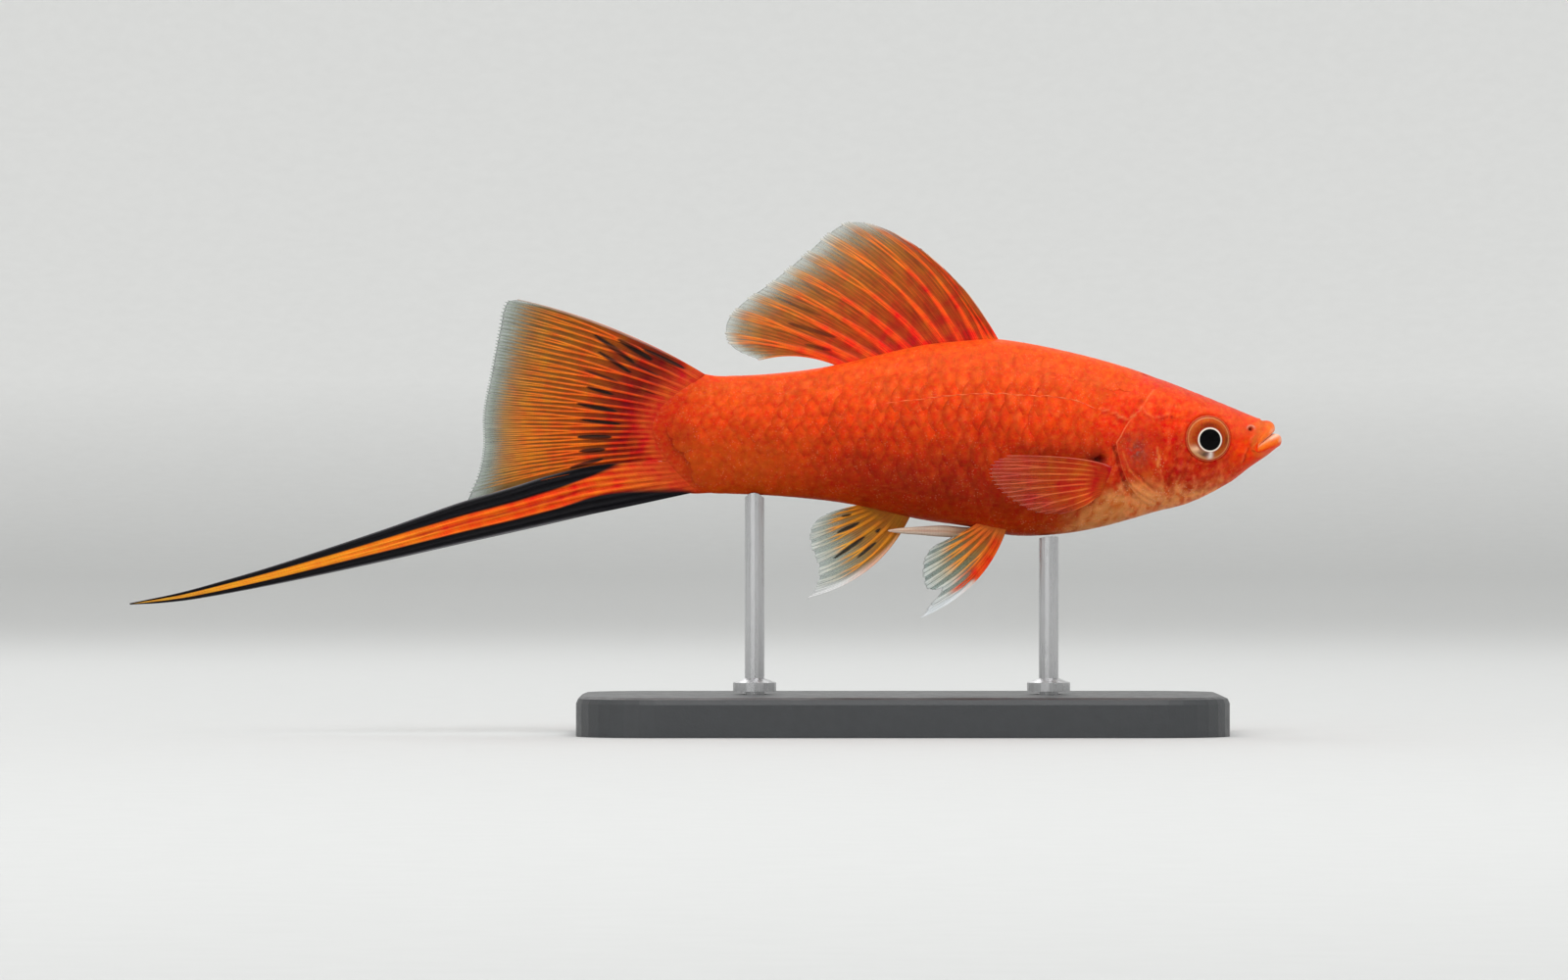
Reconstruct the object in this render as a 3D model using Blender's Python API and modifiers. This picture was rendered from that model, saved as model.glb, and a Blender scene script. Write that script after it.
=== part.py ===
"""A life-size male red swordtail as a still museum model, held by two short rods on a flat base.

Frame: metres, +Z up, the snout towards +X and the fish's right flank towards -Y. The origin is on the floor,
under the middle of the whole length from the lower lip to the tip of the sword.

Along the fish, sizes are given in millimetres as `back`, the distance behind the lower lip, and `up`, the height
over the level line from the mouth to the middle of the tail. `out` is the distance from the middle plane.
"""
import math

import bmesh
import bpy
from mathutils import Matrix, Vector

MM = 0.001

# Driving sizes, in millimetres
TOTAL_LENGTH = 117.5
AXIS_HEIGHT = 30.3
GAP = 0.3
HEAD_START = 1.3
HEAD_END = 15.2
TORSO_END = 46.85
STEM_END = 65.2
JAW_START = 0.35

# The trunk: profile lines, widths and roundness at a few places behind the lip
BACK_LINE = ((0.3, 0.3), (1.3, 1.3), (3.7, 2.4), (9.7, 4.85), (15.7, 7.05), (22.0, 8.75), (28.6, 9.95),
             (32.0, 9.85), (37.0, 9.3), (46.5, 7.15), (52.0, 6.45), (56.7, 6.25), (59.7, 6.5), (65.2, 7.6))
BELLY_LINE = ((0.3, -0.95), (1.3, -1.8), (3.2, -3.1), (5.4, -4.75), (9.4, -6.75), (12.8, -7.65), (18.0, -9.15),
              (22.5, -9.95), (27.5, -10.1), (32.0, -9.2), (37.0, -8.45), (42.5, -7.2), (47.0, -6.5), (54.0, -5.95),
              (65.2, -5.75))
HALF_WIDTH = ((0.3, 1.1), (1.3, 1.8), (3.7, 2.65), (7.4, 3.6), (12.0, 4.45), (17.0, 4.75), (24.0, 4.85),
              (30.0, 4.6), (38.0, 3.95), (46.0, 3.05), (54.0, 2.2), (60.0, 1.5), (65.2, 0.7))
WIDEST_UP = ((1.3, -0.15), (8.0, -0.2), (16.0, -0.6), (26.0, -0.9), (38.0, 0.1), (65.2, 0.5))
ROOF_POWER = ((1.3, 2.7), (10.0, 2.6), (22.0, 2.2), (65.2, 2.0))
KEEL_POWER = ((1.3, 2.3), (10.0, 2.1), (30.0, 2.2), (65.2, 2.0))
FLESH_EDGE = ((-6.2, 59.6), (-5.0, 60.6), (-3.2, 62.4), (-0.9, 64.1), (0.8, 64.6), (2.4, 64.0), (4.2, 62.1),
              (5.8, 60.0), (7.0, 58.6))
RING_POINTS = 28
BLOCK_OUT = 9.0

# Head
EYE_BACK, EYE_UP, EYE_RADIUS = 7.45, -0.2, 2.3
EYE_OUT, EYE_TOE_IN = 3.62, math.radians(10)
EYE_DOME, EYE_DEPTH = 0.55, 1.3
NOSTRIL_BACK, NOSTRIL_UP, NOSTRIL_RADIUS, NOSTRIL_DEPTH = 3.3, 0.75, 0.34, 0.7
MOUTH_CORNER_BACK, MOUTH_CORNER_OUT = 2.75, 1.68
UPPER_CORNER_UP, LOWER_CORNER_UP = -0.65, -1.5
LIP_RADIUS, LIP_CORNER_SHARE, LIP_RISE, LIP_STEPS = 0.55, 0.7, 1.5, 10
UPPER_LIP_TIP = (1.2, 0.88)
LOWER_LIP_TIP = (LIP_RADIUS, -0.28)
JAW_HINGE = (3.0, -1.35)
JAW_CHIN = (4.9, -4.6)
GILL_OUTLINE = ((12.7, 2.9), (13.5, 3.5), (14.4, 3.4), (15.2, 2.5), (16.1, 1.3), (16.8, 0.0), (17.05, -1.0),
                (16.75, -2.3), (16.3, -3.6), (15.75, -4.8), (15.0, -5.8), (14.0, -6.6), (12.9, -7.0), (12.0, -6.5),
                (11.6, -5.6), (11.5, -4.2), (11.7, -2.4), (11.85, -0.2), (12.1, 1.6))
GILL_PROUD, GILL_DEEP = 0.15, 0.8
GILL_FRONT, GILL_REAR = 9.5, 19.0
GILL_INNER_OUT = 0.6

# Fins: the half-thickness of the web, of its free edge, and how far a ray stands over the web
WEB_HALF, EDGE_HALF, RAY_PROUD = 0.26, 0.13, 0.18
RAY_SHARE, FORK_BLEND, FLESHY, SLOPE_STEP = 0.23, 0.15, 5.0, 0.01
DORSAL_ROOT_HALF, SMALL_ROOT_HALF, PECTORAL_ROOT_HALF = 0.5, 0.45, 0.4
FAN_ROOT_TOP, FAN_ROOT_LOW, STEM_ROOT_LOW = 6.35, -2.1, -5.55

# Display stand
BASE_LENGTH, BASE_WIDTH, BASE_THICKNESS = 66.0, 40.0, 4.0
BASE_CENTRE_X, BASE_CORNER, BASE_EDGE = 20.0, 8.0, 0.7
ROD_RADIUS, ROD_SPACING = 1.0, 30.0
ROD_FOOT_RADIUS, ROD_FOOT_HEIGHT, ROD_PEG_DEPTH = 2.2, 0.9, 2.5


def spline(points, at):
    """Smooth curve through (place, value...) points, read at one place; flat outside its ends."""
    places = [point[0] for point in points]
    at = min(max(at, places[0]), places[-1])
    i = max(k for k in range(len(points) - 1) if places[k] <= at)
    a, b = points[i], points[i + 1]
    before = points[i - 1] if i else a
    after = points[i + 2] if i + 2 < len(points) else b
    span = b[0] - a[0]
    t = (at - a[0]) / span
    values = []
    for k in range(1, len(a)):
        slope_a = (b[k] - before[k]) / (b[0] - before[0]) * span
        slope_b = (after[k] - a[k]) / (after[0] - a[0]) * span
        values.append((2 * t**3 - 3 * t**2 + 1) * a[k] + (t**3 - 2 * t**2 + t) * slope_a
                      + (3 * t**2 - 2 * t**3) * b[k] + (t**3 - t**2) * slope_b)
    return values[0] if len(values) == 1 else values


def to_frame(back, out, up):
    """A place on the fish, in millimetres, as a point of the frame in metres. The right side has out below 0."""
    return Vector((TOTAL_LENGTH / 2 - back, out, AXIS_HEIGHT + up)) * MM


def trunk_size(back, grow=0.0):
    """Half-width, widest height, height above it and depth below it of the trunk's section, in millimetres."""
    widest = spline(WIDEST_UP, back)
    return (spline(HALF_WIDTH, back) + grow, widest, spline(BACK_LINE, back) - widest + grow,
            widest - spline(BELLY_LINE, back) + grow)


def flank_out(back, up):
    """How far the trunk's side is from the middle plane at a place."""
    half, widest, above, below = trunk_size(back)
    power = spline(ROOF_POWER if up > widest else KEEL_POWER, back)
    share = abs(up - widest) / (above if up > widest else below)
    return half * max(0.0, 1 - share**power) ** (1 / power)


def belly_up(back, out=0.0):
    """Height of the trunk's underside at a place."""
    half, widest, _, below = trunk_size(back)
    power = spline(KEEL_POWER, back)
    return widest - below * (1 - abs(out / half) ** power) ** (1 / power)


def ring(back, grow):
    """The trunk's section: a superellipse whose upper and lower halves differ."""
    half, widest, above, below = trunk_size(back, grow)
    roof, keel = spline(ROOF_POWER, back), spline(KEEL_POWER, back)
    points = []
    for k in range(RING_POINTS):
        turn = 2 * math.pi * k / RING_POINTS
        side, rise = math.cos(turn), math.sin(turn)
        power = roof if rise > 0 else keel
        out = half * math.copysign(abs(side) ** (2 / power), side)
        up = widest + (above if rise > 0 else below) * math.copysign(abs(rise) ** (2 / power), rise)
        points.append(to_frame(back, out, up))
    return points


def finish(name, mesh_bmesh, material):
    """Makes a named object of a bmesh and gives it its material."""
    bmesh.ops.recalc_face_normals(mesh_bmesh, faces=mesh_bmesh.faces)
    mesh = bpy.data.meshes.new(name)
    mesh_bmesh.to_mesh(mesh)
    mesh_bmesh.free()
    obj = bpy.data.objects.new(name, mesh)
    (fish_parts if material else tools).objects.link(obj)
    if material:
        mesh.materials.append(material)
        mesh.shade_smooth()
        mesh.set_sharp_from_angle(angle=math.radians(40))
    return obj


def trunk(name, start, end, step, material=None, grow=0.0):
    """A length of the trunk as a closed loft between its unlike sections."""
    bm = bmesh.new()
    count = max(2, round((end - start) / step))
    rings = [[bm.verts.new(point) for point in ring(start + (end - start) * k / count, grow)]
             for k in range(count + 1)]
    for one, two in zip(rings, rings[1:]):
        for k in range(RING_POINTS):
            after = (k + 1) % RING_POINTS
            bm.faces.new((one[k], one[after], two[after], two[k]))
    bm.faces.new(rings[0])
    bm.faces.new(rings[-1])
    return finish(name, bm, material)


def side_prism(name, outline, inner, outer, grow=0.0):
    """A flat outline of (back, up) points, grown by a margin, as a block that runs across the fish."""
    centre_back = sum(point[0] for point in outline) / len(outline)
    centre_up = sum(point[1] for point in outline) / len(outline)
    bm = bmesh.new()
    corners = []
    for back, up in outline:
        away = Vector((back - centre_back, up - centre_up))
        away *= 1 + grow / away.length
        corners.append(bm.verts.new(to_frame(centre_back + away.x, inner, centre_up + away.y)))
    face = bm.faces.new(corners)
    moved = bmesh.ops.extrude_face_region(bm, geom=[face])["geom"]
    bmesh.ops.translate(bm, vec=Vector((0, outer - inner, 0)) * MM,
                        verts=[item for item in moved if isinstance(item, bmesh.types.BMVert)])
    return finish(name, bm, None)


def turned(name, profile, place, axis, material=None, steps=20):
    """A solid of revolution: (radius, height) points in millimetres, top first, with a Screw modifier."""
    bm = bmesh.new()
    corners = [bm.verts.new((radius * MM, 0, height * MM)) for radius, height in profile]
    for one, two in zip(corners, corners[1:]):
        bm.edges.new((one, two))
    obj = finish(name, bm, material)
    screw = obj.modifiers.new("Turn", "SCREW")
    screw.steps = screw.render_steps = steps
    screw.use_merge_vertices = True
    screw.merge_threshold = 0.00001
    screw.use_smooth_shade = True
    obj.matrix_world = Matrix.Translation(place) @ axis.to_track_quat("Z", "Y").to_matrix().to_4x4()
    return baked(obj)


def baked(obj):
    """Applies an object's modifiers and place to its mesh."""
    bpy.context.view_layer.update()
    mesh = bpy.data.meshes.new_from_object(obj.evaluated_get(bpy.context.evaluated_depsgraph_get()))
    mesh.transform(obj.matrix_world)
    bm = bmesh.new()
    bm.from_mesh(mesh)
    bmesh.ops.remove_doubles(bm, verts=bm.verts, dist=0.00001)
    bmesh.ops.recalc_face_normals(bm, faces=bm.faces)
    bm.to_mesh(mesh)
    bm.free()
    if obj.type == "MESH":
        old, obj.data = obj.data, mesh
        obj.modifiers.clear()
        obj.matrix_world = Matrix.Identity(4)
        bpy.data.meshes.remove(old)
        return obj
    name, material = obj.name, obj.active_material
    bpy.data.objects.remove(obj)
    solid = bpy.data.objects.new(name, mesh)
    (fish_parts if material else tools).objects.link(solid)
    return solid


def combine(obj, operation, *others):
    """Joins or cuts an object with others by Booleans, applies them and removes the others."""
    for other in others:
        boolean = obj.modifiers.new(other.name, "BOOLEAN")
        boolean.operation = operation
        boolean.object = other
        boolean.solver = "MANIFOLD"
    bpy.context.view_layer.update()
    mesh = bpy.data.meshes.new_from_object(obj.evaluated_get(bpy.context.evaluated_depsgraph_get()))
    obj.modifiers.clear()
    old, obj.data = obj.data, mesh
    bpy.data.meshes.remove(old)
    for other in others:
        bpy.data.objects.remove(other)
    keep_largest(obj)
    return obj


def keep_largest(obj):
    """Drops the loose scraps that a cut leaves, so that a node stays one closed body."""
    bm = bmesh.new()
    bm.from_mesh(obj.data)
    left, bodies = set(bm.verts), []
    while left:
        body, edge = set(), [next(iter(left))]
        while edge:
            vert = edge.pop()
            if vert not in body:
                body.add(vert)
                edge.extend(link.other_vert(vert) for link in vert.link_edges)
        left -= body
        bodies.append(body)
    largest = max(bodies, key=len)
    bmesh.ops.delete(bm, geom=[vert for vert in bm.verts if vert not in largest], context="VERTS")
    bmesh.ops.dissolve_degenerate(bm, dist=0.002 * MM, edges=bm.edges)
    bm.to_mesh(obj.data)
    bm.free()


def tube(name, path, radii, material=None):
    """A round bar along a path of frame points, with a radius in millimetres at each, as a closed mesh."""
    curve = bpy.data.curves.new(name, "CURVE")
    curve.dimensions = "3D"
    curve.bevel_depth = MM
    curve.bevel_resolution = 2
    curve.use_fill_caps = True
    line = curve.splines.new("POLY")
    line.points.add(len(path) - 1)
    for point, place, radius in zip(line.points, path, radii):
        point.co = (*place, 1)
        point.radius = radius
    obj = bpy.data.objects.new(name, curve)
    (fish_parts if material else tools).objects.link(obj)
    if material:
        curve.materials.append(material)
    return baked(obj)


def lip(name, tip, corner_up):
    """One lip: a bar bent round the snout from mouth corner to mouth corner."""
    path, radii = [], []
    for k in range(LIP_STEPS + 1):
        turn = math.pi * k / LIP_STEPS
        reach = math.sin(turn)
        back = MOUTH_CORNER_BACK + (tip[0] - MOUTH_CORNER_BACK) * reach
        up = corner_up + (tip[1] - corner_up) * reach**LIP_RISE
        path.append(to_frame(back, MOUTH_CORNER_OUT * math.cos(turn), up))
        radii.append(LIP_RADIUS * (LIP_CORNER_SHARE + (1 - LIP_CORNER_SHARE) * reach))
    return tube(name, path, radii)


def socket(name, side, radius, bottom):
    """A round pit tool with its mouth outside the cheek, where an eye sits."""
    axis = eye_axis(side)
    place = to_frame(EYE_BACK, side * EYE_OUT, EYE_UP)
    profile = ((0, 3), (radius, 3), (radius, -bottom), (0, -bottom))
    return turned(name, profile, place, axis, steps=24)


def eye_axis(side):
    """The way an eye looks: out to the side and a little forward."""
    return Vector((math.sin(EYE_TOE_IN), side * math.cos(EYE_TOE_IN), 0))


def make_eye(name, side, material):
    """An eye: a shallow dome on a drum that fills its socket."""
    rim = EYE_RADIUS
    dome = [(rim * math.sin(k * math.pi / 12), EYE_DOME * math.cos(k * math.pi / 12)) for k in range(7)]
    profile = (*dome, (rim, -0.5), (rim * 0.9, -EYE_DEPTH), (0, -EYE_DEPTH))
    return turned(name, profile, to_frame(EYE_BACK, side * EYE_OUT, EYE_UP), eye_axis(side), material, 24)


def pocket(name, side):
    """The tool for the recess that a gill cover lies in."""
    block = side_prism(name, GILL_OUTLINE, side * (GILL_INNER_OUT - GAP), side * BLOCK_OUT, GAP)
    core = trunk(name + "_core", GILL_FRONT, GILL_REAR, 0.9, grow=-(GILL_DEEP + GAP))
    return combine(block, "DIFFERENCE", core)


def make_gill_cover(name, side, material):
    """A gill cover: a curved plate that follows the cheek and stands a little proud of it."""
    plate = trunk(name, GILL_FRONT, GILL_REAR, 0.9, material, GILL_PROUD)
    block = side_prism(name + "_outline", GILL_OUTLINE, side * GILL_INNER_OUT, side * BLOCK_OUT)
    core = trunk(name + "_core", GILL_FRONT - 1, GILL_REAR + 1, 0.9, grow=-GILL_DEEP)
    return combine(combine(plate, "INTERSECT", block), "DIFFERENCE", core)


def make_head(material):
    """The head with its upper lip, eye sockets, nostrils and gill recesses, behind the mouth and jaw line."""
    head = trunk("head", HEAD_START, HEAD_END, 0.9, material)
    combine(head, "UNION", lip("upper_lip", UPPER_LIP_TIP, UPPER_CORNER_UP))
    tools_used = [jaw_block("jaw_room", GAP)]
    for side in (-1, 1):
        tools_used.append(socket(f"socket_{side}", side, EYE_RADIUS + GAP, EYE_DEPTH + GAP))
        tools_used.append(nostril(side))
        tools_used.append(pocket(f"pocket_{side}", side))
    return combine(head, "DIFFERENCE", *tools_used)


def nostril(side):
    """A small round pit in the snout."""
    out = flank_out(NOSTRIL_BACK, NOSTRIL_UP)
    profile = ((0, 1), (NOSTRIL_RADIUS * 1.2, 1), (NOSTRIL_RADIUS, -NOSTRIL_DEPTH), (0, -NOSTRIL_DEPTH))
    return turned(f"nostril_{side}", profile, to_frame(NOSTRIL_BACK, side * out, NOSTRIL_UP),
                  Vector((0.45, side, 0.35)).normalized(), steps=8)


def jaw_block(name, margin):
    """The room of the lower jaw: under the mouth line and in front of the line from its corner to the chin."""
    mouth_up = UPPER_LIP_TIP[1] - LIP_RADIUS - GAP + margin
    outline = ((-1.0, mouth_up + 0.1), (UPPER_LIP_TIP[0] - 0.2, mouth_up), (JAW_HINGE[0] + margin, JAW_HINGE[1]),
               (JAW_CHIN[0] + margin, JAW_CHIN[1]), (JAW_CHIN[0] + margin, -7.0), (-1.0, -7.0))
    return side_prism(name, outline, -BLOCK_OUT, BLOCK_OUT)


def make_lower_jaw(material):
    """The lower jaw with its lip, which reaches past the upper one."""
    jaw = trunk("lower_jaw", JAW_START, JAW_CHIN[0] + 1, 0.5, material)
    combine(jaw, "UNION", lip("lower_lip", LOWER_LIP_TIP, LOWER_CORNER_UP))
    return combine(jaw, "INTERSECT", jaw_block("jaw_outline", 0.0))


def make_torso(material):
    """The trunk from the gill opening to behind the dorsal and anal fins."""
    torso = trunk("torso", HEAD_END + GAP, TORSO_END, 1.25, material)
    return combine(torso, "DIFFERENCE", pocket("pocket_left", 1), pocket("pocket_right", -1))


def make_tail_stem(material):
    """The tail stem, whose flesh ends in a curve that bulges into the tail fin."""
    stem = trunk("tail_stem", TORSO_END + GAP, STEM_END, 1.3, material)
    edge = [(back, up) for up, back in FLESH_EDGE]
    outline = [(TORSO_END - 1, edge[0][1]), *edge, (TORSO_END - 1, edge[-1][1])]
    return combine(stem, "INTERSECT", side_prism("flesh_edge", outline, -BLOCK_OUT, BLOCK_OUT))


def bent(root, tip, bow):
    """A fin's middle sheet of bent rays. Each line gives (back, out, up) for a share across the fin: where a ray
    starts, where it ends, and how far its middle is pushed aside."""
    def sheet(across, along):
        start, end = Vector(root(across)), Vector(tip(across))
        bend = (start + end) / 2 + 2 * Vector(bow(across))
        return start * (1 - along) ** 2 + bend * 2 * along * (1 - along) + end * along**2
    return sheet


def line(points, side=0):
    """An outline of (share, back, up) points in the middle plane, or (share, back, out, up) points beside it."""
    def at(across):
        values = spline(points, across)
        if side:
            return values[0], side * values[1], values[2]
        return values[0], 0.0, values[1]
    return at


class Fin:
    """A fin as a curved sheet with rays raised in both its faces. Each ray forks where it has run its share."""

    def __init__(self, sheet, rays, root_half, fork=0.45):
        self.sheet, self.rays, self.root_half, self.fork = sheet, rays, root_half, fork

    def facing(self, across, along):
        """The sheet's normal at a place."""
        a, b = max(0, across - SLOPE_STEP), min(1, across + SLOPE_STEP)
        c, d = max(0, along - SLOPE_STEP), min(1, along + SLOPE_STEP)
        return (self.sheet(b, along) - self.sheet(a, along)).cross(
            self.sheet(across, d) - self.sheet(across, c)).normalized()

    def half(self, across, along, column):
        """Half the thickness at a place: fleshy at the root, raised on rays, thin at the free edge."""
        web = EDGE_HALF if along == 1 else WEB_HALF
        outer_ray = across in (0, 1)
        forked = 0.0 if outer_ray else min(1.0, max(0.0, (along - self.fork) / FORK_BLEND))
        on_ray = 1 - forked if column == 0 else forked
        web += RAY_PROUD * on_ray * (1 - along) ** 0.7
        return web + max(0.0, self.root_half(across) - web) * math.exp(-(along * FLESHY) ** 2)

    def columns(self):
        """The grid's columns as (share across, place beside the ray's crest): one crest and its two slopes."""
        pitch = 1 / (self.rays - 1)
        found = [((k + beside * RAY_SHARE) * pitch, beside) for k in range(self.rays) for beside in (-1, 0, 1)]
        return [(share, beside) for share, beside in found if -0.001 < share < 1.001]

    def build(self, name, material, rows, power=1.0):
        """The closed solid: a triangulated grid, doubled by extrusion and laid on both faces of the sheet."""
        columns = self.columns()
        bm = bmesh.new()
        bmesh.ops.create_grid(bm, x_segments=len(columns) - 1, y_segments=rows, size=0.5)
        bmesh.ops.triangulate(bm, faces=bm.faces, quad_method="FIXED")
        copied = bmesh.ops.extrude_face_region(bm, geom=bm.faces[:])["geom"]
        far_side = {item for item in copied if isinstance(item, bmesh.types.BMVert)}
        for vert in bm.verts:
            across, column = columns[round((vert.co.x + 0.5) * (len(columns) - 1))]
            along = round((vert.co.y + 0.5) * rows) / rows
            along **= power
            offset = self.half(across, along, column) * (1 if vert in far_side else -1)
            vert.co = to_frame(*(self.sheet(across, along) + self.facing(across, along) * offset))
        return finish(name, bm, material)


def make_dorsal_fin(material):
    """The tall dorsal fin, whose first rays are short and stand close."""
    root = ((0, 28.6), (0.25, 31.0), (0.85, 43.6), (1, 45.6))
    tip = ((0, 32.1, 14.8), (0.08, 35.3, 18.0), (0.16, 38.7, 20.4), (0.25, 42.2, 21.8), (0.35, 45.0, 21.7),
           (0.5, 48.7, 18.7), (0.65, 51.9, 16.0), (0.8, 55.4, 13.3), (0.9, 56.7, 10.9), (1, 55.0, 7.9))
    bow = ((0, -0.1, 0.1), (0.08, -0.15, 0.2), (0.16, -0.55, 0.6), (0.25, -1.0, 1.1), (0.5, -0.5, 0.7), (1, 0, 0.2))

    def root_at(across):
        back = spline(root, across)
        return back, 0.0, spline(BACK_LINE, back) + GAP

    return Fin(bent(root_at, line(tip), line(bow)), 13, lambda across: DORSAL_ROOT_HALF).build(
        "dorsal_fin", material, rows=8)


def flesh_root(up):
    """A place just behind the flesh of the tail, on the edge from which the tail fin's rays grow."""
    return spline(FLESH_EDGE, up) + GAP, 0.0, up


def flesh_half(up):
    """Half the thickness of a tail fin's root: a little less than the flesh it grows from."""
    return max(WEB_HALF, flank_out(flesh_root(up)[0] - GAP, up) * 0.9)


def make_caudal_fin(material):
    """The fan of the tail fin, over the sword."""
    tip = ((0, 79.5, 13.9), (0.15, 80.0, 10.6), (0.35, 80.8, 6.4), (0.55, 81.5, 2.4), (0.75, 81.5, -1.1),
           (0.9, 82.1, -3.8), (1, 83.4, -6.0))
    bow = ((0, -0.5, 1.45), (0.5, 0, 0.1), (0.85, 0, 0.2), (1, -0.2, 1.1))

    def up_at(across):
        return FAN_ROOT_TOP + (FAN_ROOT_LOW - FAN_ROOT_TOP) * across

    fin = Fin(bent(lambda across: flesh_root(up_at(across)), line(tip), line(bow)), 15,
              lambda across: flesh_half(up_at(across)))
    return fin.build("caudal_fin", material, rows=9, power=1.2)


def make_sword(material):
    """The long lower rays of the tail fin, drawn out to the sword."""
    upper = ((60.0, -2.4), (69.5, -2.9), (75.6, -4.4), (82.7, -6.4), (88.6, -8.6), (94.2, -10.4), (100.8, -12.4),
             (108.5, -15.0), (TOTAL_LENGTH, -17.0))
    lower = ((58.0, -5.6), (61.7, -5.9), (68.1, -7.35), (78.7, -9.6), (85.5, -11.1), (91.9, -12.9), (98.3, -14.2),
             (105.2, -15.7), (111.0, -16.75), (TOTAL_LENGTH, -17.15))

    def up_at(across):
        return FAN_ROOT_LOW - GAP + (STEM_ROOT_LOW - FAN_ROOT_LOW + GAP) * across

    def sheet(across, along):
        start = flesh_root(up_at(across))[0]
        back = start + (TOTAL_LENGTH - start) * along
        up = spline(upper, back) * (1 - across) + spline(lower, back) * across
        return Vector((back, 0.0, up))

    fin = Fin(sheet, 4, lambda across: flesh_half(up_at(across)), fork=2.0)
    return fin.build("sword", material, rows=22)


def make_anal_fin(material):
    """The anal fin, with its long bent front ray."""
    root = ((0, 37.7), (1, 42.2))
    tip = ((0, 48.4, -16.5), (0.12, 47.5, -15.2), (0.3, 47.3, -13.3), (0.5, 48.0, -11.3), (0.7, 48.1, -9.6),
           (0.85, 47.3, -8.4), (1, 45.7, -7.6))
    bow = ((0, -1.1, -1.3), (0.4, -0.2, -0.4), (1, 0, 0))

    def root_at(across):
        back = spline(root, across)
        return back, 0.0, belly_up(back) - GAP

    return Fin(bent(root_at, line(tip), line(bow)), 9, lambda across: SMALL_ROOT_HALF).build(
        "anal_fin", material, rows=7)


def make_gonopodium(material):
    """The slender rod behind the pelvic fins, swung a little to the right so that it passes the anal fin."""
    path = [to_frame(back, out, up) for back, out, up in (
        (30.9, -0.1, belly_up(30.9) - GAP - 0.35), (32.3, -0.25, -9.75), (34.5, -0.55, -9.65),
        (37.0, -1.0, -9.6), (39.0, -1.3, -9.6), (40.2, -1.45, -9.6))]
    return tube("gonopodium", path, (0.28, 0.45, 0.5, 0.4, 0.27, 0.1), material)


def make_pelvic_fin(name, side, material):
    """A pelvic fin: a long front ray, a notch and a rounded rear lobe, spread a little outwards."""
    root = ((0, 28.0, 1.35), (1, 30.7, 1.3))
    tip = ((0, 36.5, 3.4, -18.3), (0.14, 35.8, 3.2, -17.2), (0.27, 34.6, 2.9, -15.5), (0.36, 35.9, 3.0, -15.7),
           (0.5, 36.5, 2.9, -14.6), (0.7, 36.5, 2.7, -12.8), (0.85, 35.7, 2.5, -11.4), (1, 34.0, 2.2, -10.6))
    bow = ((0, -1.2, -0.9), (0.4, -0.3, -0.3), (1, 0, 0))

    def root_at(across):
        back, out = spline(root, across)
        return back, side * out, belly_up(back, out) - GAP

    return Fin(bent(root_at, line(tip, side), line(bow)), 7, lambda across: SMALL_ROOT_HALF).build(
        name, material, rows=7)


def make_pectoral_fin(name, side, material):
    """A pectoral fin: a fan that leaves the flank aslant and bends back along it."""
    root = ((0, 17.8, -2.9), (1, 19.3, -5.9))
    tip = ((0, 28.2, 7.5, -2.1), (0.15, 29.6, 7.8, -2.7), (0.3, 30.0, 7.9, -3.7), (0.5, 29.3, 7.7, -5.1),
           (0.7, 27.5, 7.3, -6.6), (0.85, 25.4, 6.8, -7.7), (1, 22.8, 5.9, -7.9))
    bow = ((0, -1.3, 0.45, 0.5), (1, -0.5, 0.35, -0.2))
    root_half = PECTORAL_ROOT_HALF

    def root_at(across):
        back, up = spline(root, across)
        return back, side * (flank_out(back, up) + GAP + root_half), up

    return Fin(bent(root_at, line(tip, side), line(bow, side)), 11, lambda across: root_half).build(
        name, material, rows=7)


def make_base(material):
    """The stand's base: a flat plate with round corners, eased edges and two blind holes for the rods."""
    bm = bmesh.new()
    bmesh.ops.create_cube(bm, size=1)
    bmesh.ops.scale(bm, vec=Vector((BASE_LENGTH, BASE_WIDTH, BASE_THICKNESS)) * MM, verts=bm.verts)
    bmesh.ops.translate(bm, vec=Vector((BASE_CENTRE_X, 0, BASE_THICKNESS / 2)) * MM, verts=bm.verts)
    upright = [e for e in bm.edges if abs(e.verts[0].co.z - e.verts[1].co.z) > MM]
    bmesh.ops.bevel(bm, geom=upright, offset=BASE_CORNER * MM, segments=8, profile=0.5, affect="EDGES")
    level = [e for e in bm.edges if abs(e.verts[0].co.z - e.verts[1].co.z) < MM / 10
             and e.verts[0].co.z > BASE_THICKNESS * MM / 2]
    bmesh.ops.bevel(bm, geom=level, offset=BASE_EDGE * MM, segments=2, profile=0.5, affect="EDGES")
    base = finish("stand_base", bm, material)
    radius, depth = ROD_RADIUS + GAP, ROD_PEG_DEPTH + GAP
    hole = ((0, BASE_THICKNESS), (radius, BASE_THICKNESS), (radius, -depth), (0, -depth))
    holes = [turned(f"hole_{x:.0f}", hole, Vector((x, 0, BASE_THICKNESS)) * MM, Vector((0, 0, 1)), steps=16)
             for x in rod_places()]
    return combine(base, "DIFFERENCE", *holes)


def rod_places():
    """Where the two rods stand along X, in millimetres."""
    return BASE_CENTRE_X - ROD_SPACING / 2, BASE_CENTRE_X + ROD_SPACING / 2


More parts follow.
